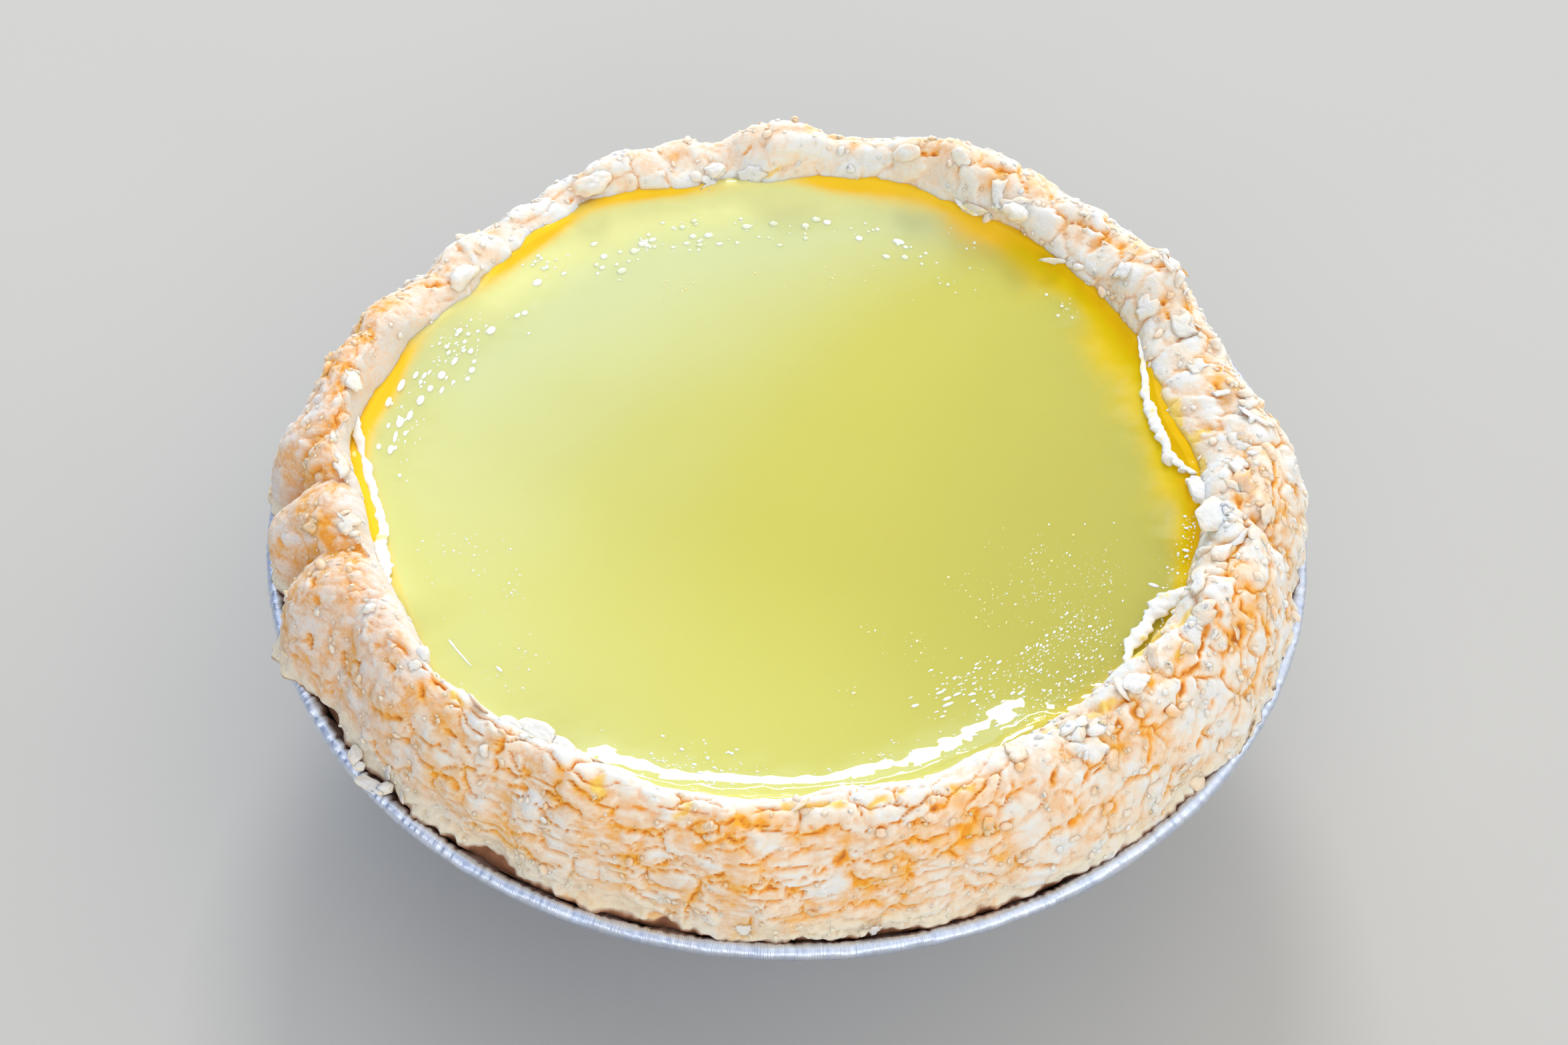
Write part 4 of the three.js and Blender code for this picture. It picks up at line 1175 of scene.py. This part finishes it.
def custard_skin():
    """Uneven white ledges and strands of dried skin along the custard's edge."""
    points, faces, start = [], [], 0
    sides = SKIN_SIDES
    around = np.arange(sides) * 2 * np.pi / sides
    for thread, (stops, widths, flat) in enumerate(SKIN_THREADS):
        angle, radius, height = np.array(stops, float).T
        angle = np.degrees(np.unwrap(np.radians(angle)))
        count = int(abs(angle[-1] - angle[0]) * 4.5)
        at, known = np.linspace(0, len(stops) - 1, count), np.arange(len(stops))
        angle, radius, height = (np.interp(at, known, part) for part in (angle, radius, height))
        edge = custard_edge(angle)
        height = height + custard_height(angle, (edge - radius) * INWARD / edge, edge)
        middle = points_round(angle, radius, height)
        wide = 1 + 0.40 * noise(middle, 1.4, 64) + 0.30 * noise(middle, 0.5, 65)
        wide = wide * np.interp(at, known, widths)
        wide[[0, -1]] = 0.02
        side = np.stack([np.cos(around), np.sin(around), 0 * around], -1)[None] * 0.6 + middle[:, None] / 0.55
        uneven = wide[:, None] * (1 + 0.42 * noise(side, 1.0, 67 + thread))
        across = np.cos(around) * uneven + 0.18 * noise(middle, 1.1, 66)[:, None]
        lift = flat * np.sin(around) * uneven + 0.10 * noise(middle, 0.9, 68)[:, None]
        strip = points_round(angle[:, None], radius[:, None] + across, height[:, None] + lift + RIM - 0.25)
        points.append(strip.reshape(-1, 3))
        for ring, side in itertools.product(range(count - 1), range(sides)):
            here, there, beside = start + ring * sides, start + (ring + 1) * sides, (side + 1) % sides
            faces.append((here + side, here + beside, there + beside, there + side))
        ends = range(start, start + sides), range(start + (count - 1) * sides, start + count * sides)
        faces += [tuple(reversed(ends[0])), tuple(ends[1])]
        start += count * sides
    settle(piece_of("custard_skin", np.concatenate(points), faces, skin_finish()), "custard")


# ---------------------------------------------------------------- foil cup

FOIL_COLUMNS = 1680
FLUTES = 48
FLUTE_DEPTH = 0.45                  # half the way from fold to fold at the bead
CRIMPS = 360
FOIL_SHEET = 0.12
WALL_FOOT = 0.7                     # how far out and up from the base's edge the wall starts
WALL_RINGS = 12
BEAD_RINGS = 14
CREASE = 0.22                       # width of a fine crease across the bead
BASE_RADIUS = 23.5


def crimp_field(degrees):
    """Fine creases across the bead: 1 in the middle of a deep crease."""
    cell = np.floor(degrees / 360 * CRIMPS)
    field = np.zeros(degrees.shape)
    for beside in (-1, 0, 1):
        index = (cell + beside) % CRIMPS
        middle = (cell + beside + 0.5 + 0.7 * (hashed(index, 75) - 0.5)) * 360 / CRIMPS
        away = apart(degrees, middle) * math.radians(BEAD_OUTSIDE)
        field = np.maximum(field, (0.15 + 0.85 * hashed(index, 76) ** 1.5) * bell(away, 0.17))
    return field


def foil_cup():
    """Base, fluted wall and rolled bead of the cup, then its inner side back to the base."""
    degrees = angles_round(FOIL_COLUMNS)
    flute = np.abs((degrees / 360 * FLUTES % 1) * 2 - 1) * 2 - 1
    start, end = BASE_RADIUS + WALL_FOOT, BEAD_OUTSIDE - 2 * BEAD - FLUTE_DEPTH
    outside = [(start + (end - start) * share + FLUTE_DEPTH * (0.4 + 0.6 * share) * flute,
                WALL_FOOT + (RIM - 0.5 - WALL_FOOT) * share + 0 * flute)
               for share in np.linspace(0, 1, WALL_RINGS)]
    crimped = 0.12 + 0.16 * window(degrees, 165, 232, 10) + 0.03 * window(degrees, 300, 380, 10)
    crease = crimp_field(degrees) * crimped
    bead = []
    for turned in np.radians(np.linspace(-110, 150, BEAD_RINGS)):
        place = points_round(degrees, BEAD_OUTSIDE, turned * 2)
        size = BEAD - crease * step(np.sin(turned), -0.9, 0.2) + 0.06 * noise(place, 2.0, 72) - 0.02
        bead.append((BEAD_OUTSIDE - BEAD + size * np.cos(turned) - 0.02, RIM + size * np.sin(turned)))
    inside = [(radius - FOIL_SHEET, height + FOIL_SHEET / 2) for radius, height in reversed(outside)]
    foot, inner_foot = ((BASE_RADIUS - up + 0 * flute, up + 0 * flute) for up in (0, FOIL_SHEET))
    radius, height = (np.concatenate(part, axis=1) for part in zip(foot, *outside, *bead, *inside, inner_foot))
    # Painted shade: the valleys of the flutes, which the foil's finish darkens.
    fold = np.zeros(radius.shape)
    fold[:, 1:WALL_RINGS + 1] = fold[:, -WALL_RINGS - 1:-1] = (1 - flute) / 2
    piece = turned_piece("foil", foil_finish(), degrees, radius, height, [], [], (0, FOIL_SHEET), fold=fold)
    settle(piece, "foil", "foil_cup")


# ---------------------------------------------------------------- light, floor and camera

def floor():
    half = 1500.0
    corners = np.array([(-half, -half, 0), (half, -half, 0), (half, half, 0), (-half, half, 0)], float)
    piece = piece_of("floor", corners, [(0, 1, 2, 3)], floor_finish())
    bpy.context.scene.collection.objects.link(piece)


def soft_light(name, place, aim, size, watts, tint):
    light = bpy.data.lights.new(name, "AREA")
    light.shape = "RECTANGLE"
    light.size, light.size_y = size
    light.energy = watts
    light.color = tint
    lamp = bpy.data.objects.new(name, light)
    lamp.location = place
    lamp.rotation_euler = (Vector(aim) - Vector(place)).to_track_quat("-Z", "Y").to_euler()
    bpy.context.scene.collection.objects.link(lamp)


ROOM = (0.97, 0.98, 1.0)
# Soft areas of the room: azimuth and elevation of the middle, how far from it full and faded, and the light.
ROOM_AREAS = [
    (112, 30, 16, 27, (1.5, 1.9, 2.5)),     # a large window at the back left
    (174, 0, 40, 68, (0.20, 0.27, 0.42)),  # the dim side of the room
    (26, 9, 24, 50, (1.25, 1.24, 1.23)),    # the bright side of the room
]


def soft_room():
    """An evenly lit room with a large soft window at the back left."""
    world = bpy.data.worlds.new("soft_room")
    world.use_nodes = True
    room = Nodes(world.node_tree)
    look, light = room.node("TexCoord", {}, {}, "Generated"), (*ROOM, 1.0)
    for azimuth, elevation, full, faded, tint in ROOM_AREAS:
        level, rise = math.cos(math.radians(elevation)), math.sin(math.radians(elevation))
        azimuth = math.radians(azimuth)
        middle = (level * math.cos(azimuth), level * math.sin(azimuth), rise)
        facing = room.vector("DOT_PRODUCT", look, middle, output="Value")
        share = room.ramp(facing, math.cos(math.radians(faded)), math.cos(math.radians(full)))
        light = room.mix(share, light, (*tint, 1.0))
    room.feed(room.nodes["Background"].inputs["Color"], light)
    bpy.context.scene.world = world


def lights():
    soft_room()
    soft_light("window_upper", (-0.01, 0.70, 0.48), (0, 0, 0.02), (0.21, 0.20), 3.2, (1.0, 1.0, 1.0))
    soft_light("window_lower", (0.02, 0.80, 0.20), (0, 0, 0.02), (0.30, 0.04), 0.6, (1.0, 1.0, 1.0))
    soft_light("fill_front", (0.0, -0.72, 0.30), (0, 0, 0.02), (0.6, 0.3), 1.15, (1.0, 0.98, 0.95))


CAMERA_LENS = 80.0
CAMERA_ELEVATION = 49.10
CAMERA_ROLL = 1.196
CAMERA_DISTANCE = 252.04
CAMERA_TARGET = (-0.247, 0.249, RIM)


def camera():
    data = bpy.data.cameras.new("camera")
    data.lens = CAMERA_LENS
    data.sensor_width = 36.0
    data.clip_start, data.clip_end = 0.01, 20.0
    seen = bpy.data.objects.new("camera", data)
    elevation, roll = math.radians(CAMERA_ELEVATION), math.radians(CAMERA_ROLL)
    back = Vector((0, -math.cos(elevation), math.sin(elevation)))
    right = Vector((1, 0, 0))
    up = back.cross(right)
    turned_right = right * math.cos(roll) + up * math.sin(roll)
    turned_up = up * math.cos(roll) - right * math.sin(roll)
    place = (Vector(CAMERA_TARGET) + back * CAMERA_DISTANCE) * MM
    axes = Matrix((turned_right, turned_up, back)).transposed().to_4x4()
    seen.matrix_world = Matrix.Translation(place) @ axes
    bpy.context.scene.collection.objects.link(seen)
    bpy.context.scene.camera = seen


def main():
    bpy.context.scene.view_settings.view_transform = "Standard"
    camera()
    lights()
    floor()
    foil_cup()
    form = Crust()
    crust_crumbs(form)
    crust_flakes(form)
    crust(form)
    custard()
    custard_glint_bubbles()
    custard_skin()


main()
